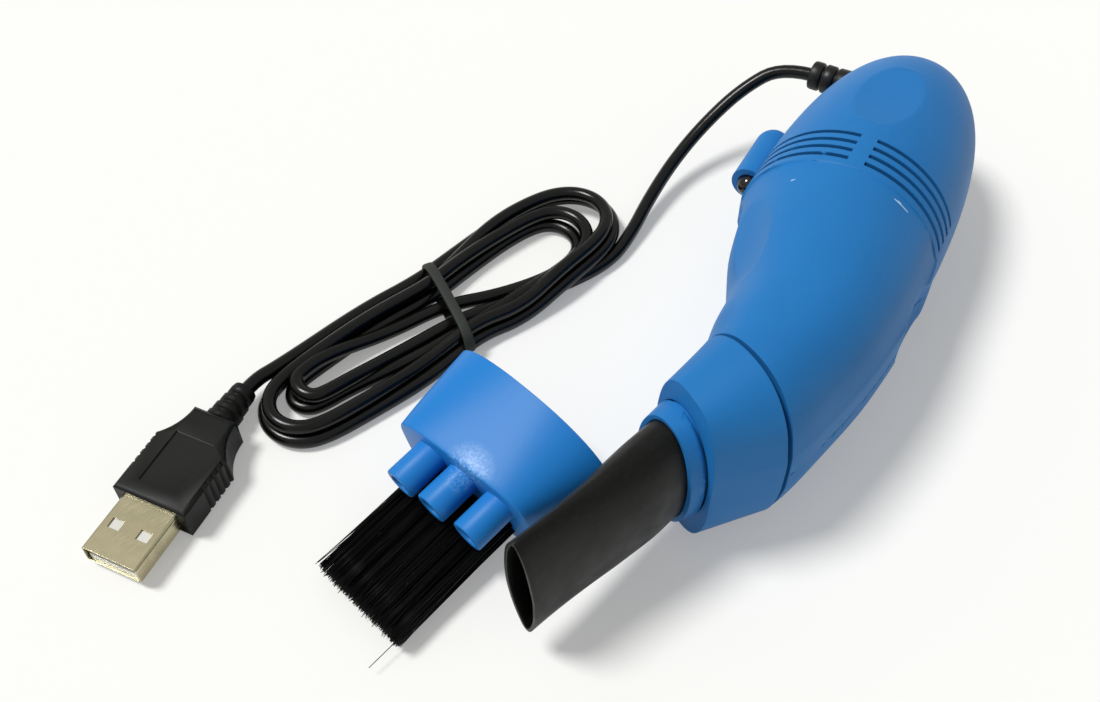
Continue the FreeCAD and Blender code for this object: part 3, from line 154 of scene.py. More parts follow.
# Part of the way from collar to tip, half width, half height, squareness
NOZZLE_SECTIONS = (
    (0.0, 6.6, 12.8, 2.1), (0.2, 6.2, 12.9, 2.05), (0.45, 5.2, 13.0, 1.95), (0.7, 4.2, 13.0, 1.85),
    (0.88, 3.7, 12.95, 1.8), (1.0, 3.6, 12.9, 1.8),
)

# ---- brush head ----------------------------------------------------------
BRUSH_PLACE = (-21.0, 27.7)             # middle of its open rear rim
BRUSH_YAW = 3.0
BRUSH_LENGTH = 17.5
BRUSH_REAR_HALF = 12.9      # half heights: the head lies on one side of its taper
BRUSH_FRONT_HALF = 9.8
# Part of the way from rear rim to front, half height, half length, squareness, middle's offset
BRUSH_SECTIONS = ((0.0, 12.9, 19.8, 2.3, 0.6), (0.5, 11.4, 17.8, 2.9, 0.3), (1.0, 9.8, 15.6, 4.0, 0.0))
BRUSH_RINGS = 10
BRUSH_SEGMENTS = 96
BRUSH_FRONT_SLOPE = 0.07
BRUSH_EDGE = 0.3            # rounding of the front's rim
BRUSH_WALL = 1.5
BRUSH_TUBES = (-7.6, 0.2, 9.0)          # along the front face
BRUSH_TUBE_RISE = 3.2       # above the front's middle; the rows of bristles are below it
# Outline of a tube: distance ahead of the front face, radius
BRUSH_TUBE_OUTLINE = ((-1.0, 3.3), (7.9, 3.3), (8.15, 3.15), (8.2, 2.9), (8.2, 2.4), (8.1, 2.15), (7.9, 2.05),
                      (-1.0, 2.05))
BRISTLE_ROWS = (3.4, 6.0)
BRISTLE_TUFTS = 8
BRISTLE_PITCH = 2.75
BRISTLE_TUFT_RADIUS = 1.1
BRISTLE_DROOP = 3.0
BRISTLE_LEAN = 3.9
BRISTLE_HOLE = 1.2
BRISTLE_SEED = 7
BRISTLE_CUTS = 4            # joints along one bristle
BRISTLE_FAN = 0.01          # how a tuft opens, by a bristle's place in it
# Spread of the bristles' slopes sideways and upwards, of their length, bend and thickness
BRISTLE_FAN_SPREAD = 0.012
BRISTLE_LIFT_SPREAD = 0.008
BRISTLE_LENGTH_SPREAD = 0.28
BRISTLE_BEND_SPREAD = (0.25, 0.35)
BRISTLE_THICKNESS = (0.85, 1.15)
STRAY_FOOT = (-5.6, 9.9)    # the long stray bristle: foot on the front face, length, bend, thickness
STRAY_LENGTH = 34.4
STRAY_BEND = -0.5
STRAY_THICKNESS = 1.1
# The patch at the front edge, painted pale partly as wear and partly as a painted highlight, then the scratches:
# start, end, half width
WORN_AND_HIGHLIGHT_PLACE = (-39.4, 24.0, 18.4)
WORN_AND_HIGHLIGHT_REACH = 5.6
WORN_AND_HIGHLIGHT_CORE = 0.15          # share of the reach where the wear and the painted highlight are full
WORN_AND_HIGHLIGHT_PALENESS = 0.7
BRUSH_SCRATCHES = (
    ((-31.0, 34.6, 19.6), (-30.2, 32.4, 20.2), 0.25),
    ((-33.0, 34.0, 19.0), (-31.6, 31.6, 20.0), 0.18),
    ((-38.2, 18.6, 19.2), (-36.4, 15.0, 19.0), 0.2),
    ((-36.6, 16.6, 19.2), (-34.8, 15.0, 19.2), 0.25),
)

# ---- cord ----------------------------------------------------------------
CORD_INSIDE = 3.0           # how far its ends run on inside the boot and the relief
CORD_ROUNDNESS = 5
CORD_STEPS = 7
LEAD_STRAIGHT = 6.6
TAIL_STRAIGHT = 2.6
# Route from the boot to the hank: x, y, height of the cord's middle
LEAD_ROUTE = (
    (75.0, 64.0, 16.0), (64.4, 65.4, 10.4), (53.8, 64.4, 6.2), (42.6, 60.8, 4.0), (33.5, 57.0, 2.2),
    (24.5, 54.4, 1.6),
)
TAIL_POINT = (-46.2, 76.6, 4.2)
# Places along the hank where its lanes are given
LANE_PLACES = (-38.0, -24.0, -10.8, 0.0, 12.0)
# Lanes of the turns on the near and the far side, from the innermost turn: (y, height) at each place
NEAR_LANES = (
    ((64.3, 4.5), (64.9, 1.6), (63.0, 2.6), (60.3, 1.6), (56.2, 1.6)),
    (None, None, (68.2, 2.6), (63.3, 1.6), (59.6, 1.6)),
    ((64.2, 1.6), (61.5, 1.6), (60.0, 2.6), (58.6, 4.1), (58.0, 4.2)),
    ((58.2, 4.1), (58.5, 2.6), (58.4, 5.3), (55.7, 4.6), (56.5, 6.8)),
    ((56.6, 1.6), (55.7, 1.6), (57.0, 2.6), (54.8, 1.6), (54.9, 4.2)),
)
FAR_LANES = (
    ((72.6, 4.5), (70.7, 1.6), None, None, None),
    ((73.0, 1.6), (73.6, 1.6), (71.6, 2.6), (73.4, 1.6), (74.2, 1.6)),
    ((74.6, 4.3), (75.1, 4.2), (73.0, 5.2), (74.6, 4.6), (74.6, 4.6)),
    ((76.0, 1.6), (76.5, 1.6), (74.5, 2.6), (76.6, 2.9), (78.6, 4.4)),
    (None, (79.3, 1.8), (77.4, 2.6), (79.0, 1.6), (79.9, 1.6)),
)
# Right loops of the four turns and left loops between them: x of the tip, its height
RIGHT_TIPS = ((24.4, 1.6), (26.4, 4.7), (33.2, 5.4), (34.8, 2.6))
LEFT_TIPS = ((-47.0, 4.8), (-48.6, 1.6), (-54.8, 4.4), (-56.0, 1.6))
RIGHT_SHOULDER = 15.0
LEFT_SHOULDER = -42.0
LOOP_SQUARENESS = 2.2
LOOP_POINTS = 5

# ---- tie -----------------------------------------------------------------
TIE_PLACE = (-10.8, 66.6)   # middle of the bundle there
TIE_TURN = -17.0
TIE_STEPS = 10
TIE_CROWN = (1.15, 1.1)     # swell of the band's outer and inner face
# Across the bundle and up, round the band's middle line
TIE_LINE = (
    (-8.4, 7.5), (0.0, 7.3), (6.0, 7.2), (10.6, 6.2), (12.9, 3.6), (12.0, 1.0), (6.0, 0.65), (-4.0, 0.65),
    (-10.4, 0.8), (-12.5, 2.8), (-11.6, 5.8),
)

# ---- plug ----------------------------------------------------------------
PLUG_PLACE = (-94.1, 59.1, 4.0, 23.5)   # middle of the shell's front: x, y, z, turn
PLUG_REACH = 42.8           # from the shell's front to the relief's tip
PLUG_SHELL_TOP = 1.9        # inside of the shell's upper wall, above its middle
INSULATOR_SIZE = (6.0, 11.0, 0.6)
INSULATOR_REACH = 7.0       # from the shell's front to the block's middle
INSULATOR_EDGE = 0.1

SCRATCH_CORE = 0.4          # share of a scratch's half width that is pale all over
WELD = 2e-6                 # metres
SMOOTH_ANGLE = 32.0
SPIN_STEPS = 48


# ---- frames and small helpers --------------------------------------------
def drawn(x, y, z):
    """A point of the drawing, in metres in the model's frame."""
    return ORIGIN + Vector((x, y, z)) * MM


def drawn_frame(x, y, z, turn):
    """Matrix from a piece's own metres to the model's frame."""
    return Matrix.Translation(drawn(x, y, z)) @ Matrix.Rotation(radians(turn), 4, "Z")


def linear(colour):
    """An sRGB colour such as 2E7FD0, as linear RGBA."""
    channels = [int(colour[i:i + 2], 16) / 255 for i in (0, 2, 4)]
    return [c / 12.92 if c <= 0.04045 else ((c + 0.055) / 1.055) ** 2.4 for c in channels] + [1.0]


def add_node(tree, kind, settings, links=None):
    """Adds a node, sets its attributes or sockets, and links its sockets from others."""
    node = tree.nodes.new(kind)
    for name, value in settings.items():
        if isinstance(name, str) and hasattr(node, name):
            setattr(node, name, value)
        else:
            node.inputs[name].default_value = value
    for name, source in (links or {}).items():
        tree.links.new(source, node.inputs[name])
    return node


def new_object(name, data):
    piece = bpy.data.objects.new(name, data)
    bpy.context.scene.collection.objects.link(piece)
    return piece


def mesh_object(name, shape):
    """A finished bmesh as an object at the origin."""
    mesh = bpy.data.meshes.new(name)
    shape.to_mesh(mesh)
    shape.free()
    return new_object(name, mesh)


def seat(piece, body, slot, material, *nodes):
    """Puts a finished piece on its body, in place of the nodes that it stands for."""
    piece.data.materials.clear()
    piece.data.materials.append(material)
    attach(piece, body)
    if nodes:
        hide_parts(*nodes)


def dress(node, material):
    """Gives a CAD node its finished material."""
    piece = frame["nodes"][node]
    if not piece.material_slots:
        piece.data.materials.append(material)
    for place in piece.material_slots:
        place.material = material


def body_of(node):
    """Name of the body that carries a CAD node."""
    bodies = frame["record"]["behaviour"]["bodies"]
    return next(name for name, members in bodies.items() if node in members)


def between(sections, share):
    """Values at a share of the way, on smooth lines through the sections' values."""
    if not sections[0][0] < share < sections[-1][0]:
        return sections[0][1:] if share <= sections[0][0] else sections[-1][1:]
    after = next(i for i, section in enumerate(sections) if section[0] >= share)
    low, high = sections[after - 1], sections[after]
    first, last = sections[max(after - 2, 0)], sections[min(after + 1, len(sections) - 1)]
    span = high[0] - low[0]
    t = (share - low[0]) / span
    blend = 3 * t ** 2 - 2 * t ** 3
    rise = (t ** 3 - 2 * t ** 2 + t) * span / (high[0] - first[0])
    fall = (t ** 3 - t ** 2) * span / (last[0] - low[0])
    return [a + (b - a) * blend + rise * (b - f) + fall * (e - a)
            for f, a, b, e in zip(first[1:], low[1:], high[1:], last[1:])]


def fuller(value, squareness):
    """A sine or cosine drawn out, so that its oval comes nearer to a rectangle."""
    return abs(value) ** (2 / squareness) * (1 if value > 0 else -1)


def ring_tube(shape, rings, segments):
    """An open tube of unit rings: each ring's points in their order round it, and the last ring's edges."""
    bmesh.ops.create_circle(shape, segments=segments, radius=1.0)
    edges = list(shape.edges)
    loops = [list(shape.verts)]
    for _ in range(rings - 1):
        grown = bmesh.ops.extrude_edge_only(shape, edges=edges)["geom"]
        edges = [g for g in grown if isinstance(g, bmesh.types.BMEdge)]
        loops.append([g for g in grown if isinstance(g, bmesh.types.BMVert)])
    right = Vector((1, 0))
    return [sorted(loop, key=lambda v: v.co.to_2d().angle_signed(right) % (2 * pi)) for loop in loops], edges


def angles_round(segments):
    """The cosine and sine of every point of a ring."""
    return [(cos(2 * pi * i / segments), sin(2 * pi * i / segments)) for i in range(segments)]


def linked_verts(start):
    """All the vertices that hang together with one."""
    found, queue = {start}, [start]
    while queue:
        for edge in queue.pop().link_edges:
            for vertex in edge.verts:
                if vertex not in found:
                    found.add(vertex)
                    queue.append(vertex)
    return found


def turned(shape, outline, place):
    """A ring: a closed outline of (along x, radius) in millimetres, spun round the x axis of a place."""
    points = [shape.verts.new((x, 0, r)) for x, r in outline]
    edges = [shape.edges.new(pair) for pair in zip(points, points[1:])]
    edges.append(shape.edges.new((points[-1], points[0])))
    bmesh.ops.spin(shape, geom=points + edges, cent=(0, 0, 0), axis=(1, 0, 0), angle=2 * pi, steps=SPIN_STEPS,
                   use_merge=True)
    verts = {v for p in points for v in linked_verts(p)}
    bmesh.ops.transform(shape, matrix=place, verts=list(verts))


def fitted(place):
    """Where the finished skin has a point of the plain neck, head or collar."""
    x, y, z = (place - ORIGIN) / MM
    station = x
    for _ in range(NECK_PASSES):
        middle, turn, along, slope, across, share = between(NECK_FIT, station)
        station = x + turn * (y - middle)
    return drawn(x + along + slope * (y - middle), middle + across + (y - middle) * share, z)


def fit_neck(shape):
    """Cuts a skin into short bays along the neck and fits its points."""
    for place in NECK_BAYS:
        bmesh.ops.bisect_plane(shape, geom=[*shape.verts, *shape.edges, *shape.faces], dist=WELD / 4,
                               plane_co=drawn(place, 0, 0), plane_no=(1, 0, 0))
    for vertex in shape.verts:
        vertex.co = fitted(vertex.co)


def widen_mouth(shape):
    """Widens the head's hole, so that the collar's straight pull clears its turned rim."""
    inner_end, (middle, height), (half_width, half_height), share = MOUTH_HOLE
    for vertex in shape.verts:
        x, y, z = (vertex.co - ORIGIN) / MM
        if x < inner_end and ((y - middle) / half_width) ** 2 + ((z - height) / half_height) ** 2 < 1.0:
            vertex.co = drawn(x, middle + (y - middle) * share, z)


def press_hollow(shape, middle, facing, reach, depth):
    """Presses a shallow bowl into a skin: fine cells first, then the points above the bowl sink to it."""
    middle, facing, reach, depth = drawn(*middle), Vector(facing).normalized(), reach * MM, depth * MM
    side = facing.orthogonal().normalized()
    other = facing.cross(side)
    cell, edge, limit = HOLLOW_CELL * MM, HOLLOW_EDGE * MM, reach * HOLLOW_CELLS_REACH
    count = int(limit / cell)
    shape.normal_update()

    def near(face):
        spans = [[(v.co - middle).dot(axis) for v in face.verts] for axis in (side, other, facing)]
        return all(min(span) < limit and max(span) > -limit for span in spans)

    faces = [f for f in shape.faces if f.normal.dot(facing) > HOLLOW_LEAST_FACING and near(f)]
    cut = list({item for f in faces for item in (f, *f.edges, *f.verts)})
    for axis in (side, other):
        for step in range(-count, count + 1):
            cut = bmesh.ops.bisect_plane(shape, geom=cut, dist=WELD / 4, plane_no=axis,
                                         plane_co=middle + axis * cell * step)["geom"]
    shape.normal_update()
    for vertex in {v for item in cut if isinstance(item, bmesh.types.BMFace) for v in item.verts}:
        offset = vertex.co - middle
        level = offset.dot(facing)
        across = (offset - facing * level).length
        rise = level - depth * ((across / reach) ** 2 - 1)
        if across < reach * HOLLOW_RIM_REACH and rise > -edge:
            turn = (vertex.normal.dot(facing) - HOLLOW_LEAST_FACING) / HOLLOW_FACING_SPAN
            sink = rise if rise > edge else (rise + edge) ** 2 / (4 * edge)
            vertex.co -= facing * sink * min(1.0, max(0.0, turn))


def smooth_piece(name, shape, angle=SMOOTH_ANGLE):
    """A finished bmesh as a smooth object, sharp where its faces turn by more than an angle."""
    piece = mesh_object(name, shape)
    piece.data.shade_smooth()
    piece.data.set_sharp_from_angle(angle=radians(angle))
    return piece


def polished(node, name, slot, material, fit=False, hollows=(), mouth=False):
    """A welded copy of a CAD node with smooth shading, which stands for the node."""
    shape = bmesh.new()
    shape.from_mesh(frame["nodes"][node].data)
    bmesh.ops.remove_doubles(shape, verts=shape.verts, dist=WELD)
    for hollow in hollows:
        press_hollow(shape, *hollow)
    if mouth:
        widen_mouth(shape)
    if fit:
        fit_neck(shape)
    piece = smooth_piece(name, shape)
    weighted = piece.modifiers.new("even shading", "WEIGHTED_NORMAL")
    weighted.keep_sharp = True
    seat(piece, body_of(node), slot, material, node)


# ---- materials -----------------------------------------------------------
def blank_tree(owner):
    """The emptied node tree of a material or world."""
    owner.use_nodes = True
    owner.node_tree.nodes.clear()
    return owner.node_tree


def new_material(name, colour, **shader):
    """A material with one Principled shader. Returns it, its tree, the shader and the object's coordinates."""
    material = bpy.data.materials.new(name)
    tree = blank_tree(material)
    surface = add_node(tree, "ShaderNodeBsdfPrincipled", {"Base Color": linear(colour)})
    for socket, value in shader.items():
        surface.inputs[socket.replace("_", " ")].default_value = value
    add_node(tree, "ShaderNodeOutputMaterial", {}, {"Surface": surface.outputs[0]})
    return material, tree, surface, add_node(tree, "ShaderNodeTexCoord", {}).outputs["Object"]


def grain(tree, place, size, detail=2.0):
    """Noise whose lumps are `size` millimetres across."""
    return add_node(tree, "ShaderNodeTexNoise", {"Scale": 1 / (size * MM), "Detail": detail},
                    {"Vector": place}).outputs[0]


def maths(tree, operation, settings, links, kind="Math"):
    """A Math or VectorMath node."""
    return add_node(tree, "ShaderNode" + kind, {"operation": operation, **settings}, links)


def highest(tree, values):
    """The largest of several values."""
    result = values[0]
    for value in values[1:]:
        result = maths(tree, "MAXIMUM", {}, {0: result, 1: value}).outputs[0]
    return result


def spread(tree, value, low, high, start=0.3, end=0.7):
    """A 0 to 1 value between start and end, mapped on to low to high."""
    return add_node(tree, "ShaderNodeMapRange",
                    {"From Min": start, "From Max": end, "To Min": low, "To Max": high},
                    {"Value": value}).outputs[0]


def uneven_gloss(tree, surface, value, low, high, *window):
    """Roughness between two values, by where another value lies in its window."""
    tree.links.new(spread(tree, value, low, high, *window), surface.inputs["Roughness"])


def tinted(tree, surface, factor, base, other):
    """Mixes the base colour with another one by a factor."""
    mixed = add_node(tree, "ShaderNodeMix", {"data_type": "RGBA", 6: linear(base), 7: linear(other)},
                     {0: factor})
    tree.links.new(mixed.outputs[2], surface.inputs["Base Color"])
    return mixed.outputs[2]


def relief(tree, surface, height, depth, edge=0.0):
    """Bump of `depth` millimetres over edges rounded by `edge` millimetres."""
    links = {"Height": height}
    if edge:
        links["Normal"] = add_node(tree, "ShaderNodeBevel", {"samples": 4, "Radius": edge * MM}).outputs[0]
    bump = add_node(tree, "ShaderNodeBump", {"Distance": depth * MM, "Strength": 1.0}, links)
    tree.links.new(bump.outputs[0], surface.inputs["Normal"])


def moulded(name, colour, roughness, texture, depth, edge=0.15, other=None, gloss=0.3):
    """Moulded plastic or rubber: spark-eroded grain, soft edges and slightly uneven gloss."""
    material, tree, surface, place = new_material(name, colour, Specular_IOR_Level=gloss)
    cloud = grain(tree, place, 9.0, 3.0)
    uneven_gloss(tree, surface, cloud, roughness - 0.04, roughness + 0.05)
    tinted(tree, surface, spread(tree, cloud, 0.0, 0.5), colour, other or colour)
    relief(tree, surface, grain(tree, place, texture), depth, edge)
    return material


def scratch(tree, place, start, end, width):
    """1 on a thin straight scratch between two points of the drawing, else 0."""
    start, end = drawn(*start), drawn(*end)
    along = end - start
    length = along.length
    along.normalize()
    offset = maths(tree, "SUBTRACT", {1: start}, {0: place}, "VectorMath").outputs[0]
    reach = maths(tree, "DOT_PRODUCT", {1: along}, {0: offset}, "VectorMath")
    held = add_node(tree, "ShaderNodeClamp", {"Min": 0.0, "Max": length}, {"Value": reach.outputs["Value"]})
    foot = maths(tree, "SCALE", {0: along}, {"Scale": held.outputs[0]}, "VectorMath")
    away = maths(tree, "DISTANCE", {}, {0: offset, 1: foot.outputs[0]}, "VectorMath")
    return spread(tree, away.outputs["Value"], 1.0, 0.0, width * SCRATCH_CORE * MM, width * MM)


def shell_abs(colour):
    """Satin moulded ABS in blue: a fine orange peel, soft sheen and a few pale scratches."""
    material, tree, surface, place = new_material("satin moulded ABS, blue", colour, Specular_IOR_Level=0.15)
    cloud = grain(tree, place, 22.0, 3.0)
    uneven_gloss(tree, surface, cloud, 0.44, 0.52)
    body = tinted(tree, surface, spread(tree, cloud, 0.0, 0.35), colour, "1F68AA")
    marks = highest(tree, [scratch(tree, place, *s) for s in HOUSING_SCRATCHES])
    scuffed = add_node(tree, "ShaderNodeMix", {"data_type": "RGBA", 7: linear("A9CBEA")}, {0: marks, 6: body})
    tree.links.new(scuffed.outputs[2], surface.inputs["Base Color"])
    relief(tree, surface, grain(tree, place, 0.7), 0.006, 0.22)
    return material


def brush_abs(colour):
    """The brush head's ABS, brighter, with one patch at its front edge made shinier by use, and painted pale
    there: partly wear, partly a painted highlight.
    """
    material, tree, surface, place = new_material("scuffed and highlight-painted moulded ABS, blue", colour, Specular_IOR_Level=0.2)
    away = maths(tree, "DISTANCE", {1: drawn(*WORN_AND_HIGHLIGHT_PLACE)}, {0: place}, "VectorMath")
    near = spread(tree, away.outputs["Value"], 1.0, 0.0, WORN_AND_HIGHLIGHT_REACH * WORN_AND_HIGHLIGHT_CORE * MM, WORN_AND_HIGHLIGHT_REACH * MM)
    specks = spread(tree, grain(tree, place, 0.5, 4.0), 0.0, 1.0, 0.42, 0.66)
    # Pale specks near the front edge: partly wear, partly a painted highlight
    speckled_wear_and_highlight = maths(tree, "MULTIPLY", {}, {0: near, 1: specks}).outputs[0]
    marks = [scratch(tree, place, *s) for s in BRUSH_SCRATCHES]
    wear_and_highlight = highest(tree, [speckled_wear_and_highlight, *marks])
    share = maths(tree, "MULTIPLY", {1: WORN_AND_HIGHLIGHT_PALENESS}, {0: wear_and_highlight})
    # Pale tint where the patch has wear and a painted highlight, and on the scratches
    tinted(tree, surface, share.outputs[0], colour, "9CCBF6")
    uneven_gloss(tree, surface, near, 0.42, 0.24, 0.0, 1.0)
    relief(tree, surface, highest(tree, [grain(tree, place, 0.7), wear_and_highlight]), 0.014, 0.18)
    return material


def shrink_tube(colour):
    """Polyolefin heat-shrink tube: soft satin black, a little mottled, with dusty fine lines."""
    material, tree, surface, place = new_material("heat-shrunk polyolefin, black", colour, Specular_IOR_Level=0.2)
    mottle = grain(tree, place, 5.0, 5.0)
    uneven_gloss(tree, surface, mottle, 0.34, 0.5)
    tinted(tree, surface, spread(tree, grain(tree, place, 0.9, 3.0), 0.0, 0.5, 0.5, 0.75), colour, "1B1D18")
    relief(tree, surface, highest(tree, [grain(tree, place, 1.1, 3.0), mottle]), 0.03, 0.12)
    return material


def cord_pvc(colour):
    """Extruded PVC jacket: smooth and slightly glossy, with faint lengthwise waves."""
    material, tree, surface, place = new_material("extruded PVC, black", colour, Specular_IOR_Level=0.28)
    uneven_gloss(tree, surface, grain(tree, place, 7.0), 0.18, 0.28)
    tinted(tree, surface, spread(tree, grain(tree, place, 3.0, 4.0), 0.0, 0.6), colour, "0B0B09")
    relief(tree, surface, grain(tree, place, 1.6), 0.02)
    return material


def drawn_lines(tree, place, turn, stretch, size):
    """Grain drawn out into fine lines along an axis that is turned by some degrees."""
    stretched = add_node(tree, "ShaderNodeMapping",
                         {"Rotation": (0, 0, radians(-turn)), "Scale": (1, stretch, stretch)}, {"Vector": place})
    return grain(tree, stretched.outputs[0], size, 3.0)


def plated_nickel(colour):
    """Tumbled nickel plate over brass: warm, fine sanding lines, dulled in clouds."""
    material, tree, surface, place = new_material("nickel-plated brass sheet", colour, Metallic=1.0)
    lines = drawn_lines(tree, place, PLUG_PLACE[3], 14, 2.5)
    cloud = grain(tree, place, 4.0, 4.0)
    uneven_gloss(tree, surface, highest(tree, [lines, cloud]), 0.18, 0.3)
    tinted(tree, surface, spread(tree, cloud, 0.0, 0.7), colour, "A39A7C")
    relief(tree, surface, lines, 0.004, 0.08)
    return material


def lamp_epoxy(colour):
    """Cast epoxy lamp body: clear gloss, coloured near-black as painted shade of the dark hole seen through the
    clear epoxy.
    """
    material, tree, surface, place = new_material("cast epoxy, painted dark shade", colour, IOR=1.53, Roughness=0.05)
    tinted(tree, surface, spread(tree, grain(tree, place, 1.4, 3.0), 0.0, 1.0, 0.45, 0.6), colour, "1A1012")
    relief(tree, surface, grain(tree, place, 2.0), 0.01)
    return material


def drawn_steel(name, colour, roughness, turn=0.0):
    """Bare or zinc-plated steel with fine drawing lines along its axis."""
    material, tree, surface, place = new_material(name, colour, Metallic=1.0)
    lines = drawn_lines(tree, place, turn, 12, 2.0)
    uneven_gloss(tree, surface, lines, roughness - 0.06, roughness + 0.1)
    tinted(tree, surface, spread(tree, grain(tree, place, 3.0), 0.0, 0.3), colour, "77756E")
    relief(tree, surface, lines, 0.005, 0.08)
    return material


def filter_felt(colour):
    """Non-woven filter felt: loose fibres pressed flat."""
    material, tree, surface, place = new_material("needled filter felt", colour, Roughness=0.95, Sheen_Weight=0.3)
    fibres = grain(tree, place, 0.45, 6.0)
    tinted(tree, surface, spread(tree, fibres, 0.0, 0.8), colour, "A8A79E")
    relief(tree, surface, fibres, 0.25)
    return material


# ---- settings ------------------------------------------------------------
def hex_colour(label, text, default):
    return StringProperty(name=label, description=text + ", as sRGB hex", default=default)


def measure(label, text, default):
    return FloatProperty(name=label, description=text, default=default * MM, unit="LENGTH")


class MiniVacuumColours(bpy.types.PropertyGroup):
    """Colours of the finished pieces."""
    shell: hex_colour("Housing", "Blue of the housing and suction head", "2475B8")
    brush: hex_colour("Brush head", "Blue of the brush head", "2079C6")
    tube: hex_colour("Nozzle tube", "Black of the shrink tube", "090A08")
    cord: hex_colour("Cord", "Black of the cord's jacket", "040403")
    boot: hex_colour("Boot", "Black of the cord boot", "0A0B09")
    plug: hex_colour("Plug", "Black of the plug's overmould", "0A0D09")
    tie: hex_colour("Tie", "Grey of the rubber band", "272B27")
    bristle: hex_colour("Bristles", "Black of the nylon bristles", "040404")
    nickel: hex_colour("Plug shell", "Tone of the nickel plate", "C9C09E")
    # The lamp's near-black is painted shade of the dark hole behind its clear epoxy
    lamp: hex_colour("Lamp", "Tone of the lamp's epoxy", "0B0A0C")
    floor: hex_colour("Floor", "Colour of the floor", "F4F4F0")


class MiniVacuumSizes(bpy.types.PropertyGroup):
    """Sizes of the pieces that are made here."""
    cord: measure("Cord diameter", "Outer diameter of the cord", 3.0)
    tie_width: measure("Tie width", "Width of the rubber band", 2.1)
    tie_thickness: measure("Tie thickness", "Thickness of the rubber band", 1.0)
    bristle_length: measure("Bristle length", "Free length of the bristles", 28.4)
    bristle_radius: measure("Bristle radius", "Radius of one bristle at its foot", 0.12)
    bristles: IntProperty(name="Bristles", description="Bristles in each tuft", default=58, min=1)
    key_power: FloatProperty(name="Key light", description="Strength of the key light", default=2.8)
    sky: FloatProperty(name="Sky", description="Strength of the sky's light", default=0.31)


def colours():
    return bpy.context.scene.mini_vacuum_colours


def sizes():
    return bpy.context.scene.mini_vacuum_sizes


# ---- camera, light and floor ---------------------------------------------
def camera_back():
    """Unit vector from the target to the camera."""
    a, e = radians(VIEW_AZIMUTH), radians(VIEW_ELEVATION)
    return Vector((sin(a) * cos(e), -cos(a) * cos(e), sin(e)))


def aimed(location, target, roll=0.0):
    """Matrix of something at a place that looks at a target."""
    turn = (target - location).to_track_quat("-Z", "Y").to_matrix().to_4x4()
    return Matrix.Translation(location) @ turn @ Matrix.Rotation(radians(roll), 4, "Z")


def make_camera():
    lens = bpy.data.cameras.new("camera")
    lens.sensor_width = SENSOR_WIDTH
    lens.lens = FOCAL_PIXELS / PICTURE_WIDTH * SENSOR_WIDTH
    camera = new_object("camera", lens)
    target = drawn(*VIEW_TARGET)
    camera.matrix_world = aimed(target + camera_back() * VIEW_DISTANCE * MM, target, VIEW_ROLL)
    bpy.context.scene.camera = camera


def make_key_light():
    """Soft even light from one direction."""
    light = bpy.data.lights.new("key light", "SUN")
    light.angle, light.energy = radians(KEY_LIGHT_SOFTNESS), sizes().key_power
    target = drawn(*VIEW_TARGET)
    offset = Matrix.Rotation(radians(VIEW_AZIMUTH), 4, "Z") @ Vector(KEY_LIGHT_FROM)
    new_object("key light", light).matrix_world = aimed(target + offset, target)


def seen_white(tree, shader, strength):
    """Mixes a shader with plain white for what the camera, gloss and glass see of it."""
    path = add_node(tree, "ShaderNodeLightPath", {})
    seen = highest(tree, [path.outputs[n] for n in ("Is Camera Ray", "Is Glossy Ray", "Is Transmission Ray")])
    share = maths(tree, "MULTIPLY", {1: strength}, {0: seen}).outputs[0]
    white = add_node(tree, "ShaderNodeEmission", {"Color": (1, 1, 1, 1), "Strength": 1.0})
    return add_node(tree, "ShaderNodeMixShader", {}, {0: share, 1: shader, 2: white.outputs[0]}).outputs[0]


def make_world():
    world = bpy.data.worlds.new("sky")
    tree = blank_tree(world)
    sky = add_node(tree, "ShaderNodeBackground", {"Color": linear("FCFBF8"), "Strength": sizes().sky})
    path = add_node(tree, "ShaderNodeLightPath", {})
    gloss = maths(tree, "MULTIPLY", {1: SKY_GLOSS}, {0: path.outputs["Is Glossy Ray"]})
    seen = highest(tree, [path.outputs["Is Camera Ray"], path.outputs["Is Transmission Ray"], gloss.outputs[0]])
    white = add_node(tree, "ShaderNodeBackground", {"Color": (1, 1, 1, 1), "Strength": 1.0})
    mixed = add_node(tree, "ShaderNodeMixShader", {}, {0: seen, 1: sky.outputs[0], 2: white.outputs[0]})
    add_node(tree, "ShaderNodeOutputWorld", {}, {"Surface": mixed.outputs[0]})
    bpy.context.scene.world = world


def make_floor():
    shape = bmesh.new()
    bmesh.ops.create_grid(shape, x_segments=1, y_segments=1, size=FLOOR_SIZE / 2 * MM)
    bmesh.ops.translate(shape, verts=shape.verts, vec=drawn(0, 0, -FLOOR_DROP))
    floor = mesh_object("floor", shape)
    material = bpy.data.materials.new("plain floor")
    tree = blank_tree(material)
    matte = add_node(tree, "ShaderNodeBsdfDiffuse", {"Color": linear(colours().floor)})
    add_node(tree, "ShaderNodeOutputMaterial", {}, {"Surface": seen_white(tree, matte.outputs[0], FLOOR_WHITE)})
    floor.data.materials.append(material)


# ---- cord ----------------------------------------------------------------
def add_spline(curve, points, order, closed=False):
    """A smooth spline near its points: round and round, or from the first of them to the last."""
    spline = curve.splines.new("NURBS")
    spline.points.add(len(points) - 1)
    for control, point in zip(spline.points, points):
        control.co = (*point, 1.0)
    spline.order_u = order
    spline.use_cyclic_u = closed
    spline.use_endpoint_u = not closed


def motor_point(along, across):
    return drawn_frame(*MOTOR_FRAME) @ Vector((along * MM, across * MM, 0))


def plug_point(distance):
    return drawn_frame(*PLUG_PLACE) @ Vector((distance * MM, 0, 0))


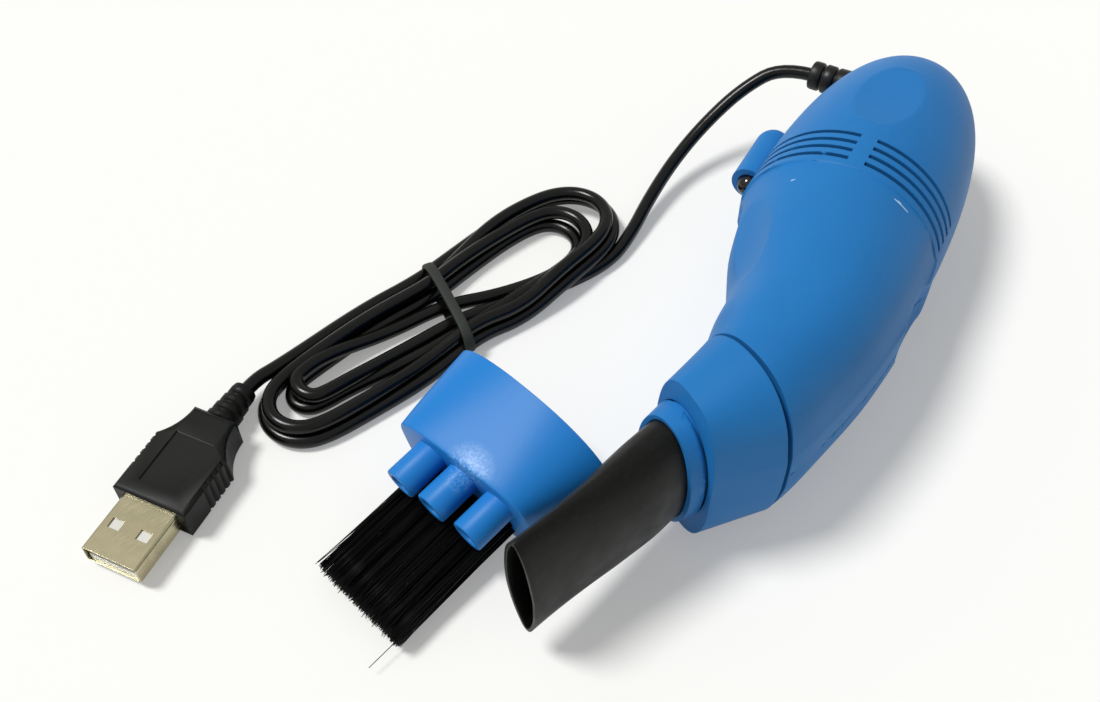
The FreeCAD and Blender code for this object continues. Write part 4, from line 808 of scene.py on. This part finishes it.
def loop_end(start, tip, end, shoulder):
    """Points round one end of the hank, from (y, height) to (y, height) about the tip."""
    middle, half = (start[0] + end[0]) / 2, (start[0] - end[0]) / 2
    points = []
    for i in range(LOOP_POINTS):
        share = 2 * (i + 1) / (LOOP_POINTS + 1)
        angle = pi / 2 * (1 - share)
        out, side = fuller(cos(angle), LOOP_SQUARENESS), fuller(sin(angle), LOOP_SQUARENESS)
        level = start[1] + (tip[1] - start[1]) * share if share < 1 else tip[1] + (end[1] - tip[1]) * (share - 1)
        points.append(drawn(shoulder + (tip[0] - shoulder) * out, middle + half * side, level))
    return points


def lane(values):
    """The points of one pass along the hank, from left to right."""
    return [drawn(x, *value) for x, value in zip(LANE_PLACES, values) if value]


def hank_points():
    """The wound part of the cord, from its first point in the hank to its last."""
    first = NEAR_LANES[0]
    points = list(reversed(lane(first)))
    points += loop_end(first[0], LEFT_TIPS[0], FAR_LANES[0][0], LEFT_SHOULDER)
    points += lane(FAR_LANES[0])
    for turn, tip in enumerate(RIGHT_TIPS, 1):
        near, far = NEAR_LANES[turn], FAR_LANES[turn]
        points += lane(near)
        points += loop_end(near[-1], tip, far[-1], RIGHT_SHOULDER)
        points += reversed(lane(far))
        if turn < len(RIGHT_TIPS):
            points += loop_end(far[0], LEFT_TIPS[turn], NEAR_LANES[turn + 1][0], LEFT_SHOULDER)
    return points


def make_cord(material):
    """One smooth spline from the boot through the hank to the plug."""
    start = motor_point(BOOT_PLACE, BOOT_TIP - CORD_INSIDE)
    points = [start, motor_point(BOOT_PLACE, BOOT_TIP + LEAD_STRAIGHT)]
    points += [drawn(*p) for p in LEAD_ROUTE]
    points += hank_points()
    points += [drawn(*TAIL_POINT), plug_point(PLUG_REACH + TAIL_STRAIGHT), plug_point(PLUG_REACH - CORD_INSIDE)]
    curve = bpy.data.curves.new("cord", "CURVE")
    curve.dimensions = "3D"
    curve.bevel_depth = sizes().cord / 2
    curve.bevel_resolution = CORD_ROUNDNESS
    curve.resolution_u = CORD_STEPS
    curve.use_fill_caps = True
    add_spline(curve, points, 3)
    cord = new_object("cord", curve)
    seat(cord, "housing", "cord_black", material, "cord_lead", "cord_hank", "cord_tail")
    return cord, start


def make_tie(material):
    """Rubber band round the hank's waist, stretched flat over the turns."""
    path = bpy.data.curves.new("tie line", "CURVE")
    path.dimensions = "3D"
    path.resolution_u = TIE_STEPS
    place = drawn_frame(*TIE_PLACE, 0.0, TIE_TURN)
    add_spline(path, [place @ Vector((0, across * MM, height * MM)) for across, height in TIE_LINE], 4, True)
    section = bpy.data.curves.new("tie section", "CURVE")
    half, thick = sizes().tie_width / 2, sizes().tie_thickness / 2
    outer, inner = TIE_CROWN
    corners = [(-half, 0), (-half, thick), (0, thick * outer), (half, thick), (half, 0), (half, -thick),
               (0, -thick * inner), (-half, -thick)]
    add_spline(section, [(x, y, 0) for x, y in corners], 3, True)
    profile = new_object("tie section", section)
    path.bevel_mode = "OBJECT"
    path.bevel_object = profile
    line = new_object("tie line", path)
    bpy.context.view_layer.update()
    mesh = bpy.data.meshes.new_from_object(line.evaluated_get(bpy.context.evaluated_depsgraph_get()))
    tie = new_object("rubber_tie", mesh)
    for helper in (line, profile):
        bpy.data.objects.remove(helper)
    mesh.shade_smooth()
    seat(tie, "housing", "tie_rubber", material, "hank_tie")
    return tie


# ---- nozzle tube ---------------------------------------------------------
def make_nozzle(material):
    """Soft tube, shrunk on to the collar's neck and pressed flat towards its tip."""
    shape = bmesh.new()
    reach = NOZZLE_TIP - COLLAR_FRONT
    stations = [NOZZLE_ROOT] + [COLLAR_FRONT + reach * i / NOZZLE_RINGS for i in range(NOZZLE_RINGS + 1)]
    loops, _ = ring_tube(shape, len(stations), NOZZLE_SEGMENTS)
    for x, loop in zip(stations, loops):
        share = max(0.0, (x - COLLAR_FRONT) / reach)
        half_width, half_height, squareness = between(NOZZLE_SECTIONS, share)
        lean = radians(-NOZZLE_ROLL * share)
        for (c, s), vertex in zip(angles_round(NOZZLE_SEGMENTS), loop):
            y, z = half_width * fuller(c, squareness), half_height * fuller(s, squareness)
            along, about = NOZZLE_WAVE_PACE
            wave = noise.noise(Vector((x * along, c * about, s * about))) * NOZZLE_WAVE * share
            cut = noise.noise(Vector((c * NOZZLE_CUT_PACE, s * NOZZLE_CUT_PACE, 5.0))) * NOZZLE_WAVE
            ragged = cut if x == stations[-1] else 0.0
            y, z = y * (1 + wave / half_width), z + wave * NOZZLE_WAVE_RISE
            vertex.co = fitted(drawn(x + ragged, NOZZLE_SIDE + y * cos(lean) - z * sin(lean),
                                     PART_HEIGHT + y * sin(lean) + z * cos(lean)))
    bmesh.ops.recalc_face_normals(shape, faces=shape.faces)
    tube = mesh_object("nozzle_tube", shape)
    tube.data.shade_smooth()
    wall = tube.modifiers.new("wall", "SOLIDIFY")
    wall.thickness = NOZZLE_WALL * MM
    wall.offset = -1.0
    wall.use_even_offset = True
    wall.use_rim = True
    rounded = tube.modifiers.new("mouth", "BEVEL")
    rounded.width = NOZZLE_LIP * MM
    rounded.segments = 2
    rounded.limit_method = "ANGLE"
    rounded.angle_limit = radians(NOZZLE_LIP_ANGLE)
    seat(tube, "soft_nozzle", "tube_black", material, "hose_nozzle")


# ---- brush head and boot -------------------------------------------------
def brush_frame():
    """Matrix of the brush head: local -X towards the bristles, local Y up, local Z level."""
    pitch = atan((BRUSH_REAR_HALF - BRUSH_FRONT_HALF) / BRUSH_LENGTH)
    place = Matrix.Translation(drawn(*BRUSH_PLACE, BRUSH_REAR_HALF * cos(pitch)))
    turn = Matrix.Rotation(radians(BRUSH_YAW), 4, "Z") @ Matrix.Rotation(-pitch, 4, "Y")
    return place @ turn @ Matrix.Rotation(radians(90), 4, "X"), pitch


def make_brush_body(material):
    """Brush head: a hollow oval shell, closed at the front, with three short tubes on its face."""
    place, _ = brush_frame()
    shape = bmesh.new()
    loops, rim = ring_tube(shape, BRUSH_RINGS + 1, BRUSH_SEGMENTS)
    for ring, loop in enumerate(loops):
        share = ring / BRUSH_RINGS
        high, wide, squareness, offset = between(BRUSH_SECTIONS, share)
        for (c, s), vertex in zip(angles_round(BRUSH_SEGMENTS), loop):
            vertex.co = Vector((-BRUSH_LENGTH * share, high * fuller(c, squareness),
                                offset + wide * fuller(s, squareness)))
    bmesh.ops.contextual_create(shape, geom=rim)
    bmesh.ops.recalc_face_normals(shape, faces=shape.faces)
    front = max(shape.faces, key=lambda f: len(f.verts))
    bmesh.ops.bevel(shape, geom=list(front.edges), offset=BRUSH_EDGE, segments=3, profile=0.5, material=-1,
                    affect="EDGES")
    for vertex in shape.verts:
        vertex.co.x += BRUSH_FRONT_SLOPE * vertex.co.z * min(1.0, -vertex.co.x / BRUSH_LENGTH)
    bmesh.ops.recalc_face_normals(shape, faces=shape.faces)
    bmesh.ops.solidify(shape, geom=list(shape.faces), thickness=BRUSH_WALL)
    for level in BRUSH_TUBES:
        middle = Matrix.Translation((-BRUSH_LENGTH + BRUSH_FRONT_SLOPE * level, BRUSH_TUBE_RISE, level))
        turned(shape, [(-x, r) for x, r in BRUSH_TUBE_OUTLINE], middle)
    bmesh.ops.recalc_face_normals(shape, faces=shape.faces)
    bmesh.ops.transform(shape, matrix=place @ Matrix.Scale(MM, 4), verts=shape.verts)
    seat(smooth_piece("brush_body", shape), "brush_attachment", "brush_shell", material, "brush_head")


def make_boot(material):
    """Ribbed rubber boot where the cord leaves the housing."""
    shape = bmesh.new()
    across = drawn_frame(*MOTOR_FRAME) @ Matrix.Translation((BOOT_PLACE * MM, BOOT_TIP * MM, 0))
    place = across @ Matrix.Rotation(radians(-90), 4, "Z") @ Matrix.Scale(MM, 4)
    turned(shape, BOOT_OUTLINE, place)
    bmesh.ops.recalc_face_normals(shape, faces=shape.faces)
    boot = smooth_piece("cord_sleeve", shape, BOOT_SHARP_ANGLE)
    seat(boot, "housing", "boot_rubber", material, "cord_boot")


def make_bristles(material):
    """Tufts of single bristles, a little uneven, with one long stray."""
    pick = random.Random(BRISTLE_SEED)
    place, pitch = brush_frame()
    template = bmesh.new()
    bmesh.ops.create_cone(template, segments=4, radius1=1.0, radius2=0.55, depth=1.0, cap_ends=True)
    bmesh.ops.translate(template, verts=template.verts, vec=(0, 0, 0.5))
    upright = [e for e in template.edges if abs(e.verts[0].co.z - e.verts[1].co.z) > 0.5]
    bmesh.ops.subdivide_edges(template, edges=upright, cuts=BRISTLE_CUTS)
    hair = bpy.data.meshes.new("bristle")
    template.to_mesh(hair)
    template.free()
    shape = bmesh.new()
    lift = pitch - radians(BRISTLE_DROOP)

    def grow(foot, along, length, bend, radius):
        before = len(shape.verts)
        shape.from_mesh(hair)
        shape.verts.ensure_lookup_table()
        side = along.orthogonal().normalized()
        other = along.cross(side).normalized()
        for vertex in shape.verts[before:]:
            t = vertex.co.z
            point = foot + along * (length * t) + bend * (t * t)
            vertex.co = place @ (point + (side * vertex.co.x + other * vertex.co.y) * radius)

    radius, lean = sizes().bristle_radius, tan(radians(BRISTLE_LEAN))
    for row in BRISTLE_ROWS:
        for index in range(BRISTLE_TUFTS):
            level = (index - (BRISTLE_TUFTS - 1) / 2) * BRISTLE_PITCH
            for _ in range(sizes().bristles):
                angle, reach = pick.uniform(0, 2 * pi), BRISTLE_TUFT_RADIUS * pick.random() ** 0.5
                rise, side = reach * sin(angle), reach * cos(angle)
                foot = Vector((-BRUSH_LENGTH + BRISTLE_HOLE, -row + rise, level + side))
                fan = lean - side * BRISTLE_FAN + pick.gauss(0, BRISTLE_FAN_SPREAD)
                along = Vector((-1.0, tan(lift) + pick.gauss(0, BRISTLE_LIFT_SPREAD), fan))
                length = sizes().bristle_length + (BRISTLE_HOLE + pick.gauss(0, BRISTLE_LENGTH_SPREAD)) * MM
                bend = Vector((0, *(pick.gauss(0, spread_by) for spread_by in BRISTLE_BEND_SPREAD))) * MM
                grow(foot * MM, along, length, bend, radius * pick.uniform(*BRISTLE_THICKNESS))
    grow(Vector((-BRUSH_LENGTH, *STRAY_FOOT)) * MM, Vector((-1, tan(lift), lean)), STRAY_LENGTH * MM,
         Vector((0, 0, STRAY_BEND)) * MM, radius * STRAY_THICKNESS)
    bristles = mesh_object("bristles", shape)
    bpy.data.meshes.remove(hair)
    bristles.data.shade_smooth()
    seat(bristles, "brush_attachment", "bristle_black", material, "bristle_tufts")


# ---- plug ----------------------------------------------------------------
def make_insulator(material):
    """The white block under the plug shell's windows."""
    shape = bmesh.new()
    bmesh.ops.create_cube(shape, size=1.0)
    bmesh.ops.scale(shape, verts=shape.verts, vec=Vector(INSULATOR_SIZE) * MM)
    bmesh.ops.bevel(shape, geom=shape.edges, offset=INSULATOR_EDGE * MM, segments=2, profile=0.5, material=-1,
                    affect="EDGES")
    middle = Vector((INSULATOR_REACH, 0, PLUG_SHELL_TOP - INSULATOR_SIZE[2] / 2)) * MM
    bmesh.ops.transform(shape, matrix=drawn_frame(*PLUG_PLACE) @ Matrix.Translation(middle), verts=shape.verts)
    seat(mesh_object("plug_insulator", shape), "housing", "inner_plastic", material)


# ---- operators -----------------------------------------------------------
class MINIVAC_OT_stage(bpy.types.Operator):
    """Add the camera, the key light, the sky and the plain floor"""
    bl_idname = "mini_vacuum.stage"
    bl_label = "Stage"

    def execute(self, context):
        make_camera()
        make_key_light()
        make_world()
        make_floor()
        context.scene.view_settings.view_transform = "Standard"
        return {"FINISHED"}


class MINIVAC_OT_cord(bpy.types.Operator):
    """Lay the cord from the boot through the hank to the plug, and tie the hank"""
    bl_idname = "mini_vacuum.cord"
    bl_label = "Cord and tie"

    def execute(self, context):
        cord, start = make_cord(cord_pvc(colours().cord))
        tie = make_tie(moulded("vulcanised rubber, dark grey", colours().tie, 0.66, 0.8, 0.015, edge=0.1,
                               other="30342F"))
        return {"FINISHED"}


class MINIVAC_OT_plug(bpy.types.Operator):
    """Finish the plug: overmould, strain relief, plated shell, tongue and contacts"""
    bl_idname = "mini_vacuum.plug"
    bl_label = "Plug"

    def execute(self, context):
        black = moulded("moulded PVC, black", colours().plug, 0.46, 0.35, 0.012, edge=0.25, other="0F120D",
                        gloss=0.2)
        polished("plug_body", "plug_grip", "plug_black", black)
        polished("plug_relief", "plug_strain_relief", "plug_black", black)
        polished("plug_shell", "plug_metal", "plug_nickel", plated_nickel(colours().nickel))
        white = moulded("moulded nylon, white", "D9D8D0", 0.4, 0.5, 0.006)
        dress("plug_tongue", white)
        make_insulator(white)
        dress("plug_contacts", drawn_steel("gilt brass strip", "D6B468", 0.25, PLUG_PLACE[3]))
        return {"FINISHED"}


class MINIVAC_OT_housing(bpy.types.Operator):
    """Finish the two housing shells, the suction head and its collar"""
    bl_idname = "mini_vacuum.housing"
    bl_label = "Housing and heads"

    def execute(self, context):
        blue = shell_abs(colours().shell)
        polished("upper_shell", "housing_upper", "shell", blue, fit=True, hollows=(THUMB_DISH, FINGER_SCOOP))
        polished("lower_shell", "housing_lower", "shell", blue, fit=True, hollows=(FINGER_SCOOP,))
        polished("suction_head", "suction_front", "shell", blue, fit=True, mouth=True)
        polished("nozzle_collar", "collar_ring", "shell", blue, fit=True)
        return {"FINISHED"}


class MINIVAC_OT_fittings(bpy.types.Operator):
    """Finish the lamp, the switch and the cord boot"""
    bl_idname = "mini_vacuum.fittings"
    bl_label = "Lamp, switch and boot"

    def execute(self, context):
        polished("led_lamp", "lamp_bulb", "lamp_lens", lamp_epoxy(colours().lamp))
        dress("lamp_leads", moulded("extruded wire jacket, red", "A01C16", 0.4, 0.6, 0.004))
        black = moulded("moulded nylon, black", "141513", 0.42, 0.4, 0.006, edge=0.1)
        dress("switch_body", black)
        dress("switch_knob", black)
        dress("switch_pins", drawn_steel("tinned brass", "C9C6BC", 0.3, MOTOR_FRAME[3]))
        make_boot(moulded("moulded rubber, black", colours().boot, 0.4, 0.5, 0.012, edge=0.2, other="1B1C18"))
        return {"FINISHED"}


class MINIVAC_OT_inside(bpy.types.Operator):
    """Finish the filter, the fan, the motor and the screws"""
    bl_idname = "mini_vacuum.inside"
    bl_label = "Inside"

    def execute(self, context):
        white = moulded("moulded polypropylene, natural", "DEDDD4", 0.38, 0.8, 0.008, other="CFCEC4")
        steel = drawn_steel("zinc-plated steel", "A9A8A2", 0.34, MOTOR_FRAME[3])
        ground = drawn_steel("ground steel", "C2C2BE", 0.2, MOTOR_FRAME[3])
        bronze = drawn_steel("sintered bronze", "A98652", 0.5)
        brass = drawn_steel("brass strip", "C79F55", 0.32, MOTOR_FRAME[3])
        finishes = {
            "fan_bulkhead": white, "impeller": white,
            "dust_filter": filter_felt("D6D5CC"), "motor_can": steel, "motor_shaft": ground,
            "motor_end_cap": moulded("moulded nylon, white", "D2D1C6", 0.42, 0.5, 0.006),
            "motor_bearings": bronze, "motor_terminals": brass, "shell_screws": steel,
        }
        for node, material in finishes.items():
            dress(node, material)
        # The filter sleeve's black is painted shade: it keeps the groove between suction head and housing dark,
        # where deep inside lies in shadow
        black = moulded("moulded polypropylene, black as painted groove shade", "101110", 0.42, 0.8, 0.008, other="161716")
        polished("filter_frame", "filter_sleeve", "inner_plastic", black, fit=True)
        return {"FINISHED"}


class MINIVAC_OT_nozzle(bpy.types.Operator):
    """Make the soft nozzle tube"""
    bl_idname = "mini_vacuum.nozzle"
    bl_label = "Nozzle tube"

    def execute(self, context):
        make_nozzle(shrink_tube(colours().tube))
        return {"FINISHED"}


class MINIVAC_OT_brush(bpy.types.Operator):
    """Finish the brush head and plant its bristles"""
    bl_idname = "mini_vacuum.brush"
    bl_label = "Brush head"

    def execute(self, context):
        make_brush_body(brush_abs(colours().brush))
        make_bristles(moulded("drawn nylon, black", colours().bristle, 0.42, 2.0, 0.002, edge=0.0,
                              other="050505", gloss=0.12))
        return {"FINISHED"}


class MINIVAC_PT_panel(bpy.types.Panel):
    """Buttons for the pieces of the mini vacuum cleaner"""
    bl_label = "Mini Vacuum"
    bl_space_type = "VIEW_3D"
    bl_region_type = "UI"
    bl_category = "Mini Vacuum"

    def draw(self, context):
        layout = self.layout
        for group in (colours(), sizes()):
            column = layout.column()
            for name in group.bl_rna.properties.keys():
                if name not in ("rna_type", "name"):
                    column.prop(group, name)
        for operator in OPERATORS:
            layout.operator(operator.bl_idname)


OPERATORS = (MINIVAC_OT_stage, MINIVAC_OT_housing, MINIVAC_OT_fittings, MINIVAC_OT_inside, MINIVAC_OT_nozzle,
             MINIVAC_OT_brush, MINIVAC_OT_plug, MINIVAC_OT_cord)
CLASSES = (MiniVacuumColours, MiniVacuumSizes, *OPERATORS, MINIVAC_PT_panel)


def register():
    for item in CLASSES:
        bpy.utils.register_class(item)
    bpy.types.Scene.mini_vacuum_colours = PointerProperty(type=MiniVacuumColours)
    bpy.types.Scene.mini_vacuum_sizes = PointerProperty(type=MiniVacuumSizes)


def unregister():
    del bpy.types.Scene.mini_vacuum_sizes
    del bpy.types.Scene.mini_vacuum_colours
    for item in reversed(CLASSES):
        bpy.utils.unregister_class(item)


def main():
    register()
    for operator in OPERATORS:
        group, name = operator.bl_idname.split(".")
        getattr(getattr(bpy.ops, group), name)()


if __name__ == "__main__":
    main()
